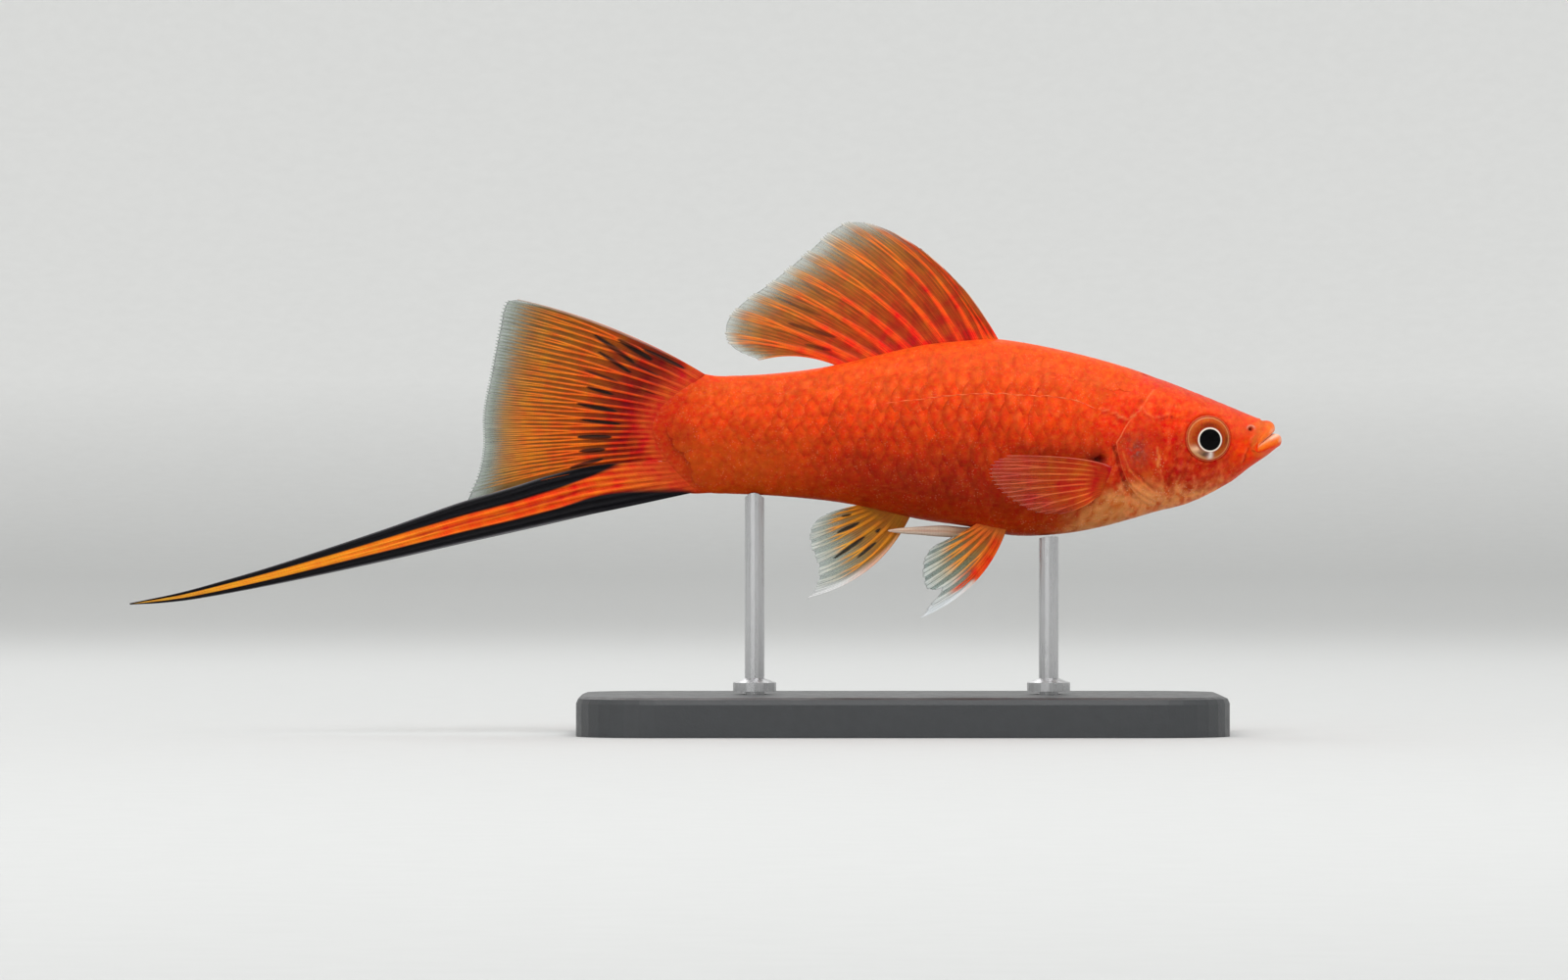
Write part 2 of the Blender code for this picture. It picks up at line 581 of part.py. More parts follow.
def make_rod(name, x, material):
    """A rod with a peg and a foot, its top hollowed to the belly that rests on it."""
    back = TOTAL_LENGTH / 2 - x
    top = AXIS_HEIGHT + belly_up(back) + 1.5
    foot = BASE_THICKNESS + GAP
    profile = ((0, top), (ROD_RADIUS, top), (ROD_RADIUS, foot + ROD_FOOT_HEIGHT * 1.5),
               (ROD_FOOT_RADIUS, foot + ROD_FOOT_HEIGHT), (ROD_FOOT_RADIUS, foot), (ROD_RADIUS, foot),
               (ROD_RADIUS, BASE_THICKNESS - ROD_PEG_DEPTH), (0, BASE_THICKNESS - ROD_PEG_DEPTH))
    rod = turned(name, profile, Vector((x, 0, 0)) * MM, Vector((0, 0, 1)), material, 16)
    return combine(rod, "DIFFERENCE", trunk(name + "_fish", back - 4, back + 4, 0.5, grow=GAP))


def make_material(name, colour, roughness, metallic=0.0):
    """A plain finish."""
    material = bpy.data.materials.new(name)
    material.use_nodes = True
    shader = material.node_tree.nodes["Principled BSDF"]
    shader.inputs["Base Color"].default_value = (*colour, 1)
    shader.inputs["Roughness"].default_value = roughness
    shader.inputs["Metallic"].default_value = metallic
    return material


def new_collection(name, hidden=False):
    """A collection of the scene."""
    made = bpy.data.collections.new(name)
    made.hide_render = hidden
    bpy.context.scene.collection.children.link(made)
    return made


for old_object in list(bpy.data.objects):
    bpy.data.objects.remove(old_object)
fish_parts = new_collection("swordtail")
tools = new_collection("tools", hidden=True)

RED_SKIN = make_material("red_skin", (0.80, 0.10, 0.02), 0.35)
ORANGE_FIN = make_material("orange_fin", (0.85, 0.28, 0.05), 0.4)
PALE_FIN = make_material("pale_fin", (0.85, 0.70, 0.60), 0.4)
SWORD_BLACK = make_material("sword_black", (0.04, 0.035, 0.04), 0.4)
EYE_GOLD = make_material("eye_gold", (0.45, 0.20, 0.06), 0.1)
STAND_GREY = make_material("stand_grey", (0.16, 0.17, 0.18), 0.5)
STAND_STEEL = make_material("stand_steel", (0.62, 0.62, 0.63), 0.25, 1.0)

make_head(RED_SKIN)
make_lower_jaw(RED_SKIN)
make_torso(RED_SKIN)
make_tail_stem(RED_SKIN)
for side_name, side_sign in (("left", 1), ("right", -1)):
    make_gill_cover("gill_cover_" + side_name, side_sign, RED_SKIN)
    make_eye("eye_" + side_name, side_sign, EYE_GOLD)
    make_pelvic_fin("pelvic_fin_" + side_name, side_sign, ORANGE_FIN)
    make_pectoral_fin("pectoral_fin_" + side_name, side_sign, ORANGE_FIN)
make_dorsal_fin(ORANGE_FIN)
make_caudal_fin(ORANGE_FIN)
make_sword(SWORD_BLACK)
make_anal_fin(ORANGE_FIN)
make_gonopodium(PALE_FIN)
make_base(STAND_GREY)
for rod_name, rod_x in zip(("stand_rod_rear", "stand_rod_front"), rod_places()):
    make_rod(rod_name, rod_x, STAND_STEEL)
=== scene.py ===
"""A life-size red male swordtail on a plain display stand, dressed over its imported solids.

Places on the fish are millimetres: `back` behind the lower lip, `out` from the middle plane (the left side is
positive) and `up` over the level line from the mouth to the middle of the tail. Meshes are in metres.
"""
import logging
import math
import random
from bisect import bisect_right
from dataclasses import dataclass
from enum import Enum
from functools import cached_property
from typing import Callable, Iterable

import bmesh
import bpy
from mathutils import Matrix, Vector, noise


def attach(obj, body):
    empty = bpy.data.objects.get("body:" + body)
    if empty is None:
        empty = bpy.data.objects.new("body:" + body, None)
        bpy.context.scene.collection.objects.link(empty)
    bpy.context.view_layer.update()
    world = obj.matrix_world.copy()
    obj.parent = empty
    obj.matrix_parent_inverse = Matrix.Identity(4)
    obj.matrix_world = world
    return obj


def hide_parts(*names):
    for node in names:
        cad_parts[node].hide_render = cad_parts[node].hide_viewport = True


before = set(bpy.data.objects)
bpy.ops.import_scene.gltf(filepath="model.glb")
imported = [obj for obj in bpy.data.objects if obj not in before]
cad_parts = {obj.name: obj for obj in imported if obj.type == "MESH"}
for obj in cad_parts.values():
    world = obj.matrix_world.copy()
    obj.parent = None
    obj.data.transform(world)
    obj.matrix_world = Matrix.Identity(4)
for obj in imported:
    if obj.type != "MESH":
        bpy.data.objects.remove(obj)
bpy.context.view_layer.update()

# The fish's length, the height of its level line over the floor, and the stretch of a fin that fills its
# map once are in millimetres. Points nearer than SAME_POINT metres are joined.
MM = 0.001
TOTAL_LENGTH = 117.5
AXIS_HEIGHT = 30.3
MAP_UNIT = 20
SAME_POINT = 0.0000005
Colour = tuple[float, float, float]
Sheet = Callable[[float, float], Vector]
Mark = tuple[float, Colour]
Socket = bpy.types.NodeSocket
Material = bpy.types.Material
Mesh = bmesh.types.BMesh
log = logging.getLogger("swordtail")


class Side(Enum):
    """The two sides of the fish, as the sign of `out`."""

    LEFT = 1
    RIGHT = -1

    @property
    def word(self) -> str:
        """The side's name in a piece's name."""
        return self.name.lower()


def paint(red: int, green: int, blue: int) -> Colour:
    """A paint's screen values as the linear colour that a shader takes."""
    shares = [value / 255 for value in (red, green, blue)]
    return tuple(((share + 0.055) / 1.055) ** 2.4 if share > 0.04 else share / 12.92 for share in shares)


def mix(one: Colour, two: Colour, share: float) -> Colour:
    """Two colours blended, with all of the second at a share of 1."""
    red, green, blue = one
    return red + (two[0] - red) * share, green + (two[1] - green) * share, blue + (two[2] - blue) * share


def coats(colour: Colour, *layers: tuple[Colour, float]) -> Colour:
    """A colour with others laid over it in order.

    Args:
        colour: the colour beneath.
        layers: each colour with its share.

    Returns:
        The linear colour.
    """
    for over, share in layers:
        colour = mix(colour, over, share)
    return colour


def rise(value: float, low: float, high: float) -> float:
    """A smooth step from 0 at low to 1 at high, or from 1 to 0 where high is under low."""
    share = min(1.0, max(0.0, (value - low) / (high - low)))
    return share * share * (3 - 2 * share)


def bell(distance: float, width: float) -> float:
    """A smooth bump of height 1 and a given half-width."""
    return math.exp(-((distance / width) ** 2))


def patches(back: float, up: float, scale: float, seed: float) -> float:
    """Smooth random blotches over the flank, mostly between -0.6 and 0.6."""
    return noise.fractal(Vector((back * scale, up * scale, seed)), 0.9, 2.1, 4)


def wander(back: float, up: float) -> tuple[float, float]:
    """A place moved a little to and fro, so that drawn lines run unevenly."""
    spot = Vector((back * 1.9, up * 1.9, 0.0))
    return back + 0.14 * noise.noise(spot), up + 0.14 * noise.noise(spot + Vector((0, 0, 9.5)))


def to_frame(back: float, out: float, up: float) -> Vector:
    """A place on the fish in the frame, in metres."""
    return Vector((TOTAL_LENGTH / 2 - back, out, AXIS_HEIGHT + up)) * MM


@dataclass(frozen=True)
class Line:
    """A smooth line through (place, value, ...) points, flat outside its ends."""

    points: tuple[tuple[float, ...], ...]

    def values(self, place: float) -> tuple[float, ...]:
        """The line's values at a place.

        Args:
            place: where the line is read.

        Returns:
            One value for each number after the place in a point.
        """
        places, curves = self.curves
        place = min(max(place, places[0]), self.points[-1][0])
        start, span, cubics = curves[bisect_right(places, place) - 1]
        t = (place - start) / span
        return tuple([((a * t + b) * t + c) * t + d for a, b, c, d in cubics])

    @cached_property
    def curves(self) -> tuple[list[float], list[tuple]]:
        """The pieces of the line.

        Returns:
            Where each piece starts, and each one's start, span and cubics.
        """
        points, found = self.points, []
        for i, (a, b) in enumerate(zip(points, points[1:])):
            before, after = points[max(0, i - 1)], points[min(len(points) - 1, i + 2)]
            span = b[0] - a[0]
            cubics = []
            for k in range(1, len(a)):
                slope_a = (b[k] - before[k]) / (b[0] - before[0]) * span
                slope_b = (after[k] - a[k]) / (after[0] - a[0]) * span
                cube = 2 * a[k] + slope_a - 2 * b[k] + slope_b
                square = 3 * b[k] - 3 * a[k] - 2 * slope_a - slope_b
                cubics.append((cube, square, slope_a, a[k]))
            found.append((a[0], span, cubics))
        return [piece[0] for piece in found], found

    def at(self, place: float) -> float:
        """The line's first value at a place."""
        return self.values(place)[0]


@dataclass(frozen=True)
class Ramp:
    """Colours that blend from one stop to the next, each stop a place and a screen colour."""

    stops: tuple[tuple[float, int, int, int], ...]

    @cached_property
    def colours(self) -> list[Colour]:
        """The stops' linear colours."""
        return [paint(*stop[1:]) for stop in self.stops]

    def at(self, place: float) -> Colour:
        """The colour at a place.

        Args:
            place: where the ramp is read.

        Returns:
            The linear colour.
        """
        place = min(max(place, self.stops[0][0]), self.stops[-1][0])
        i = 0
        while i < len(self.stops) - 2 and place > self.stops[i + 1][0]:
            i += 1
        low, high = self.stops[i][0], self.stops[i + 1][0]
        return mix(self.colours[i], self.colours[i + 1], (place - low) / (high - low))


@dataclass(frozen=True)
class Stroke:
    """A line drawn on the flank through (back, up) points, as a fold or a mark."""

    path: tuple[tuple[float, float], ...]
    width: float
    height: float = 0.0
    # Above 0 the stroke is paler and below 0 darker; the dark strokes lie along grooves as painted shade.
    pale: float = 0.0
    tint: Colour | None = None

    def nearness(self, back: float, up: float) -> float:
        """How near a place is to the stroke.

        Args:
            back: distance behind the lip.
            up: height.

        Returns:
            1 on the stroke, falling to 0 over its width.
        """
        least_back, most_back, least_up, most_up = self.reach
        if back < least_back or back > most_back or up < least_up or up > most_up:
            return 0.0
        nearest = min(segment_distance(back, up, a, b) for a, b in zip(self.path, self.path[1:]))
        return bell(nearest, self.width)

    @cached_property
    def reach(self) -> tuple[float, float, float, float]:
        """The box that the stroke tells on.

        Returns:
            The least and greatest distances behind the lip, then the least and greatest heights.
        """
        backs, ups = zip(*self.path)
        wide = 2.2 * self.width
        return min(backs) - wide, max(backs) + wide, min(ups) - wide, max(ups) + wide


def segment_distance(x: float, y: float, a: tuple[float, float], b: tuple[float, float]) -> float:
    """The distance of a point from a straight piece of line.

    Args:
        x: the point's first place.
        y: its second place.
        a: where the line starts.
        b: where it ends.

    Returns:
        The distance.
    """
    along_x, along_y = b[0] - a[0], b[1] - a[1]
    share = ((x - a[0]) * along_x + (y - a[1]) * along_y) / (along_x**2 + along_y**2)
    share = min(1.0, max(0.0, share))
    return math.hypot(x - a[0] - share * along_x, y - a[1] - share * along_y)


@dataclass(frozen=True)
class Streak:
    """A dark lens-shaped mark on a fin between two (back, up) points."""

    start: tuple[float, float]
    end: tuple[float, float]
    half_width: float
    strength: float = 0.95

    def share(self, back: float, up: float) -> float:
        """How dark the mark is at a place.

        Args:
            back: distance behind the lip.
            up: height.

        Returns:
            The share, from 0 to 1.
        """
        along_x, along_y = self.end[0] - self.start[0], self.end[1] - self.start[1]
        length = math.hypot(along_x, along_y)
        x, y = back - self.start[0], up - self.start[1]
        run = (x * along_x + y * along_y) / length**2
        if run <= 0 or run >= 1:
            return 0.0
        half = self.half_width * (4 * run * (1 - run)) ** 0.4
        return self.strength * rise(abs(x * along_y - y * along_x) / length, half * 1.2, half * 0.5)


@dataclass(frozen=True)
class Trunk:
    """The body's form: profile lines, widths and roundness behind the lip."""

    back_line: Line = Line((
        (0.3, 0.3), (1.3, 1.3), (3.7, 2.4), (9.7, 4.85), (15.7, 7.05), (22.0, 8.75), (28.6, 9.95),
        (32.0, 9.85), (37.0, 9.3), (46.5, 7.15), (52.0, 6.45), (56.7, 6.25), (59.7, 6.5), (65.2, 7.6)))
    belly_line: Line = Line((
        (0.3, -0.95), (1.3, -1.8), (3.2, -3.1), (5.4, -4.75), (9.4, -6.75), (12.8, -7.65), (18.0, -9.15),
        (22.5, -9.95), (27.5, -10.1), (32.0, -9.2), (37.0, -8.45), (42.5, -7.2), (47.0, -6.5), (54.0, -5.95),
        (65.2, -5.75)))
    half_width: Line = Line((
        (0.3, 1.1), (1.3, 1.8), (3.7, 2.65), (7.4, 3.6), (12.0, 4.45), (17.0, 4.75), (24.0, 4.85),
        (30.0, 4.6), (38.0, 3.95), (46.0, 3.05), (54.0, 2.2), (60.0, 1.5), (65.2, 0.7)))
    widest_up: Line = Line(((1.3, -0.15), (8.0, -0.2), (16.0, -0.6), (26.0, -0.9), (38.0, 0.1), (65.2, 0.5)))
    roof_power: Line = Line(((1.3, 2.7), (10.0, 2.6), (22.0, 2.2), (65.2, 2.0)))
    keel_power: Line = Line(((1.3, 2.3), (10.0, 2.1), (30.0, 2.2), (65.2, 2.0)))
    flesh_edge: Line = Line((
        (-6.2, 59.6), (-5.0, 60.6), (-3.2, 62.4), (-0.9, 64.1), (0.8, 64.6), (2.4, 64.0), (4.2, 62.1),
        (5.8, 60.0), (7.0, 58.6)))
    body_end: float = 66.0
    sections_a_mm: int = 20
    girths_a_mm: int = 2
    girth_steps: int = 36

    @cached_property
    def sections(self) -> list[tuple[float, ...]]:
        """The sections at even steps behind the lip.

        Returns:
            Each section as the section method gives it.
        """
        found = []
        for k in range(round(self.body_end * self.sections_a_mm)):
            back = k / self.sections_a_mm
            widest = self.widest_up.at(back)
            above, below = self.back_line.at(back) - widest, widest - self.belly_line.at(back)
            powers = self.roof_power.at(back), self.keel_power.at(back)
            found.append((self.half_width.at(back), widest, above, below, *powers))
        return found

    def section(self, back: float) -> tuple[float, ...]:
        """The section at a place.

        Args:
            back: distance behind the lip.

        Returns:
            Its half-width, widest height, height above that, depth below it and two roundness powers.
        """
        place = min(max(back, 0.0), self.body_end - 0.1) * self.sections_a_mm
        k = int(place)
        share = place - k
        return tuple(a + (b - a) * share for a, b in zip(self.sections[k], self.sections[k + 1]))

    def point(self, back: float, turn: float) -> Vector:
        """A point of the surface.

        Args:
            back: distance behind the lip.
            turn: angle round the section, 0 on the left, a quarter turn on the back.

        Returns:
            The point as (back, out, up).
        """
        half, widest, above, below, roof, keel = self.section(back)
        side, lift = math.cos(turn), math.sin(turn)
        power = roof if lift > 0 else keel
        out = half * math.copysign(abs(side) ** (2 / power), side)
        up = widest + (above if lift > 0 else below) * math.copysign(abs(lift) ** (2 / power), lift)
        return Vector((back, out, up))

    @cached_property
    def girths(self) -> list[list[float]]:
        """The angles at equal shares of the way from belly to back.

        Returns:
            One row of angles for each step behind the lip.
        """
        found = []
        turns = [-math.pi / 2 + math.pi * i / 60 for i in range(61)]
        for k in range(round(self.body_end * self.girths_a_mm) + 1):
            points = [self.point(k / self.girths_a_mm, turn) for turn in turns]
            run = [0.0]
            for a, b in zip(points, points[1:]):
                run.append(run[-1] + (b - a).length)
            line = Line(tuple(zip(run, turns)))
            found.append([line.at(run[-1] * i / self.girth_steps) for i in range(self.girth_steps + 1)])
        return found

    def turn_at(self, back: float, share: float) -> float:
        """The angle at a share of the girth.

        Args:
            back: distance behind the lip.
            share: 0 under the belly, 1 along the back, and on to 2 down the right side to the belly again.

        Returns:
            The angle round the section.
        """
        share %= 2
        if share > 1:
            return math.pi - self.turn_at(back, 2 - share)
        row = min(back, self.body_end - 0.05) * self.girths_a_mm
        column = min(share * self.girth_steps, self.girth_steps - 0.001)
        i, j = int(row), int(column)
        near, far = self.girths[i], self.girths[i + 1]
        low = near[j] + (near[j + 1] - near[j]) * (column - j)
        high = far[j] + (far[j + 1] - far[j]) * (column - j)
        return low + (high - low) * (row - i)

    def raised(self, back: float, turn: float, lift: float) -> Vector:
        """A point at a height over the surface, along its normal.

        Args:
            back: distance behind the lip.
            turn: angle round the section.
            lift: height over the surface.

        Returns:
            The point as (back, out, up).
        """
        here = self.point(back, turn)
        along = self.point(back + 0.06, turn) - self.point(back - 0.06, turn)
        around = self.point(back, turn + 0.03) - self.point(back, turn - 0.03)
        return here + around.cross(along).normalized() * lift

    def turn_for(self, back: float, up: float) -> float:
        """The angle round the left side at a height above the widest line."""
        _, widest, above, _, roof, *_ = self.section(back)
        return math.asin(min(1.0, max(0.0, (up - widest) / above) ** (roof / 2)))

    def flank_out(self, back: float, up: float) -> float:
        """How far the side is from the middle plane at a place.

        Args:
            back: distance behind the lip.
            up: height.

        Returns:
            The distance, 0 above the back and under the belly.
        """
        half, widest, above, below, roof, keel = self.section(back)
        power = roof if up > widest else keel
        share = abs(up - widest) / (above if up > widest else below)
        return half * max(0.0, 1 - share**power) ** (1 / power)

    def belly_up(self, back: float, out: float = 0.0) -> float:
        """The height of the underside at a place."""
        half, widest, _, below, _, keel = self.section(back)
        return widest - below * (1 - abs(out / half) ** keel) ** (1 / keel)

    def height_share(self, back: float, up: float) -> float:
        """How high a place is between the belly line at 0 and the back line at 1."""
        _, widest, above, below, _, _ = self.section(back)
        return (up - widest + below) / (above + below)


@dataclass(frozen=True)
class Eye:
    """Where an eye sits and how large it is."""

    back: float = 7.62
    up: float = -0.2
    out: float = 3.62
    radius: float = 2.34
    pupil: float = 1.1
    ring: float = 1.26
    shift: tuple[float, float] = (-0.1, -0.14)
    toe_in: float = math.radians(10)


@dataclass(frozen=True)
class Livery:
    """The fish's markings and its painted shade and highlights, shared by the skin, the gill covers and the
    scales.
    """

    trunk: Trunk
    eye: Eye
    # Colours up the flank, from the belly at 0 to the back at 1; the darker red low on the flank is painted
    # shade under a light from above.
    bands_and_shade: Ramp = Ramp((
        (0.00, 200, 54, 4), (0.15, 188, 38, 2), (0.30, 196, 36, 1), (0.43, 212, 44, 2), (0.57, 232, 48, 5),
        (0.70, 243, 57, 10), (0.84, 249, 72, 18), (1.00, 249, 79, 26)))
    tan: Colour = paint(250, 160, 92)
    cheek: Colour = paint(200, 38, 4)
    gill_red: Colour = paint(210, 50, 12)
    gill_dusk: Colour = paint(128, 54, 40)
    gill_gold: Colour = paint(244, 140, 72)
    snout: Colour = paint(240, 82, 40)
    snout_side: Colour = paint(244, 64, 3)
    nape: Colour = paint(204, 72, 58)
    lip: Colour = paint(250, 122, 40)
    # pale edge of the lips, partly painted highlight
    lip_edge_and_highlight: Colour = paint(252, 206, 180)
    # the dark inside of the mouth, partly its lining and partly painted shade
    mouth: Colour = paint(96, 20, 8)
    dusk: Colour = paint(134, 20, 4)
    # painted shade of the hollow behind the pectoral fin's root
    pocket: Colour = paint(84, 6, 2)
    pale_line: Colour = paint(255, 146, 92)
    # painted shade for the dark strokes, which lie along grooves
    crease_shade: Colour = paint(116, 18, 4)
    stem_gold: Colour = paint(214, 88, 14)
    # painted shade in the nostril and pore openings
    opening_shade: Colour = paint(92, 22, 12)
    tan_warm: Colour = paint(226, 104, 40)
    fleck: Colour = paint(255, 122, 62)
    bruise: Colour = paint(172, 30, 12)
    bruise_low: Colour = paint(176, 52, 14)
    ray_pink: Colour = paint(228, 92, 52)
    gill_speck: Colour = paint(160, 108, 98)
    gill_low: Colour = paint(208, 84, 22)
    lower_lip: Colour = paint(252, 116, 30)
    nostril_at: tuple[float, float] = (3.22, 0.77)
    pore_at: tuple[float, float] = (11.35, 1.95)
    pocket_at: tuple[float, float] = (18.95, -2.4)
    tan_edge: Line = Line((
        (3.5, -4.0), (5.0, -4.7), (8.0, -5.15), (11.5, -5.5), (14.0, -5.3), (16.0, -5.2), (18.0, -6.1),
        (21.0, -8.2), (24.0, -9.3), (29.0, -10.3)))
    lateral: Line = Line((
        (18.9, 2.75), (21.7, 3.8), (25.6, 4.15), (30.2, 4.35), (34.0, 4.15), (37.1, 3.75), (40.9, 3.3),
        (44.7, 2.55), (52.0, 1.6)))
    # Folds and marks on the head and flank, each with its relief: the dark strokes follow grooves and are
    # painted shade, and the pale ones along raised folds are partly painted highlight.
    folds: tuple[Stroke, ...] = (
        Stroke(((18.7, 2.8), (17.45, 2.5), (16.75, 2.1), (15.8, 1.75), (15.2, 2.1)), 0.09, 0.09, 0.55),
        Stroke(((18.5, 2.45), (17.3, 2.15), (16.6, 1.65), (15.7, 1.3)), 0.24, -0.05, -0.35),
        Stroke(((15.2, 2.1), (14.6, 2.7), (14.0, 3.5), (13.5, 4.2), (13.1, 4.7)), 0.09, 0.06, 0.38),
        Stroke(((15.6, 1.9), (14.9, 2.9), (14.2, 3.8)), 0.22, -0.04, -0.25),
        Stroke(((14.3, 2.9), (13.8, 2.3), (13.0, 1.95), (12.3, 2.0), (11.7, 2.3)), 0.1, 0.05, 0.3),
        Stroke(((14.3, 2.4), (13.4, 1.75), (12.4, 1.7), (11.7, 2.0)), 0.15, -0.05, -0.4),
        # The groove behind the upper lip, painted dark as shade in it.
        Stroke(((1.84, 1.75), (2.05, 1.35), (2.4, 0.55), (2.85, -0.4), (3.05, -0.95), (2.95, -1.5)),
               0.18, -0.16, -1.0, paint(168, 30, 8)),
        Stroke(((2.2, 1.85), (2.45, 1.3), (2.75, 0.5), (3.2, -0.5)), 0.16, 0.07, 0.3),
        # A painted highlight along the front of that groove.
        Stroke(((1.7, 1.2), (2.1, 0.6), (2.5, -0.15), (2.75, -0.8)), 0.17, 0.05, 0.7, paint(255, 160, 84)),
        Stroke(((31.4, -8.7), (30.2, -8.95), (28.9, -9.2)), 0.16, -0.02, -0.5),
        Stroke(((1.3, 1.1), (1.85, 0.75), (2.3, 0.35), (2.6, -0.2), (2.75, -0.9)), 0.24, 0.05, 0.75,
               paint(255, 146, 58)),
        Stroke(((2.8, -1.35), (2.9, -1.5)), 0.16, -0.08, -0.7),
        Stroke(((3.45, -1.15), (3.52, -1.65), (3.9, -2.5)), 0.13, -0.07, -0.45),
        Stroke(((3.7, -1.15), (3.8, -1.7), (4.2, -2.5)), 0.14, 0.04, 0.2),
        Stroke(((9.9, 1.9), (10.8, 1.75), (11.35, 2.0)), 0.14, -0.05, -0.25),
        Stroke(((9.3, -1.9), (9.7, -2.8), (10.1, -4.2)), 0.14, -0.06, -0.3),
        Stroke(((9.0, -4.1), (9.05, -4.8), (8.8, -5.3)), 0.16, 0.05, 0.3),
        Stroke(((10.7, -1.7), (10.9, -3.0), (11.5, -4.1), (11.6, -5.0)), 0.22, -0.06, -0.35),
        Stroke(((10.3, -2.6), (10.6, -3.4)), 0.18, 0.04, 0.25, paint(236, 88, 78)),
        Stroke(((5.6, -2.6), (6.4, -3.3), (7.6, -3.9), (9.0, -4.5)), 0.25, 0.05, 0.1),
        Stroke(((12.6, -7.2), (11.4, -6.4), (9.6, -5.9), (8.4, -5.6)), 0.14, -0.05, -0.2),
        Stroke(((5.2, 1.9), (6.4, 2.6), (8.2, 2.9), (9.6, 2.6)), 0.25, 0.05, 0.1),
        # Painted shadow on the skin behind the gill flap's proud rear edge.
        Stroke(((17.27, -0.9), (16.95, -2.3), (16.6, -3.4), (16.25, -4.5)), 0.14, -0.03, -0.9),
        Stroke(((16.25, -4.5), (15.9, -5.3)), 0.17, -0.03, -0.4),
        Stroke(((15.9, -5.3), (15.2, -6.1), (14.4, -6.8)), 0.16, -0.02, -0.3),
        Stroke(((17.85, -1.1), (17.7, -2.2), (17.4, -3.3), (17.3, -4.4)), 0.32, 0.1, 0.45,
               paint(244, 86, 26)),
        Stroke(((17.7, -2.95), (17.75, -3.75), (18.3, -4.9), (18.95, -5.95)), 0.12, 0.05, 0.45),
    )
    # Lines on the gill covers; the dark ones follow grooves and are painted shade.
    gill_lines: tuple[Stroke, ...] = (
        Stroke(((12.84, -1.2), (12.8, -1.7)), 0.15, 0.07, 0.45),
        Stroke(((12.6, -1.9), (12.66, -2.5), (12.75, -3.1)), 0.12, 0.09, 0.75),
        Stroke(((12.45, -3.3), (12.5, -3.9), (12.2, -4.4)), 0.08, 0.04, 0.3),
        Stroke(((12.9, -3.55), (12.4, -3.65)), 0.1, 0.04, 0.3),
        Stroke(((12.2, -4.55), (12.3, -5.0), (12.1, -5.3)), 0.14, 0.07, 0.55),
        Stroke(((12.72, -5.8), (12.66, -5.9)), 0.18, 0.07, 0.55),
        Stroke(((11.8, -5.75), (11.72, -5.95)), 0.15, 0.06, 0.5),
        Stroke(((13.2, -4.2), (13.3, -4.6)), 0.14, 0.05, 0.35),
        Stroke(((12.12, -1.65), (11.8, -3.5), (11.3, -4.6)), 0.2, -0.07, -0.55),
        Stroke(((16.33, -1.65), (15.95, -2.7), (15.62, -3.49)), 0.11, 0.05, 0.25),
        Stroke(((15.62, -3.49), (15.05, -4.0), (14.35, -4.75), (13.0, -5.85)), 0.11, 0.05, 0.35),
        Stroke(((15.4, -3.4), (14.85, -3.85), (14.1, -4.6), (12.9, -5.55)), 0.13, -0.05, -0.35),
        Stroke(((14.6, -4.0), (13.9, -4.8), (13.2, -5.4)), 0.09, -0.03, -0.2),
        Stroke(((16.1, -4.1), (15.3, -5.0), (14.0, -5.9), (12.6, -6.4), (11.6, -6.5)), 0.11, 0.04, 0.25),
        Stroke(((15.9, -4.5), (15.0, -5.5), (13.8, -6.3), (12.5, -6.8)), 0.11, -0.05, -0.3),
        Stroke(((13.0, 1.9), (13.9, 1.2), (14.8, 0.2), (15.4, -0.9)), 0.3, 0.05, 0.08),
    )

    def tone(self, back: float, up: float, lines: bool = True) -> Colour:
        """The colour of the flesh at a place on either flank, with its painted shade and highlights.

        Args:
            back: distance behind the lip.
            up: height.
            lines: whether the folds' lines are drawn.

        Returns:
            The linear colour.
        """
        share = self.trunk.height_share(back, up)
        colour = self.bands_and_shade.at(share)
        if back > 17:
            # Over the trunk the second layer is painted shade low on the middle flank; the third darkens the
            # flank behind the pectoral fin's root and the last the top of the tail stem.
            colour = coats(
                colour, (self.stem_gold, 0.42 * rise(back, 44, 54) * bell(share - 0.25, 0.28)),
                (self.dusk, 0.6 * bell(back - 36, 9) * bell(share - 0.2, 0.24)),
                (self.dusk, 0.5 * bell(back - 21.5, 4.5) * bell(up + 1.6, 1.6)),
                (self.dusk, 0.1 * rise(back, 44, 54) * rise(share, 0.6, 0.9)))
        else:
            colour = mix(colour, self.face(back, up, share), rise(back, 16.5, 13.5))
        broad = patches(back, up, 0.42, 2.7) * (1 - 0.5 * rise(share, 0.5, 0.8)) * rise(share, 1.02, 0.85)
        cloud = self.dusk if broad < 0 else self.bands_and_shade.at(min(1.0, share + 0.25))
        colour = mix(colour, cloud, min(0.3, 0.3 * abs(broad)))
        if back < 30 and up < -3:
            edge = self.tan_edge.at(back) + 1.3 * patches(back, up, 0.9, 5.1)
            tan = rise(up, edge + 1.2, edge - 1.0) * rise(back, 25.5, 19.5)
            belly = mix(self.tan, self.tan_warm, rise(patches(back, up, 1.3, 8.8), -0.1, 0.5))
            colour = mix(colour, belly, 0.9 * tan * rise(back, 4.0, 6.5))
        if back < 18:
            fine = patches(back, up, 1.5, 6.2) * rise(back, 3.5, 6.0) * rise(share, 1.0, 0.8)
            shade = mix(self.bruise, self.bruise_low, rise(up, -1.8, -3.2))
            colour = mix(colour, self.fleck if fine > 0 else shade, min(0.3, 0.45 * abs(fine)))
        else:
            fine = patches(back, up, 2.1, 3.9) * (0.3 + 0.7 * rise(share, 0.35, 0.75))
            fine *= rise(share, 1.0, 0.85)
            speck, strength = (self.fleck, 0.5) if fine > 0 else (self.dusk, 0.3)
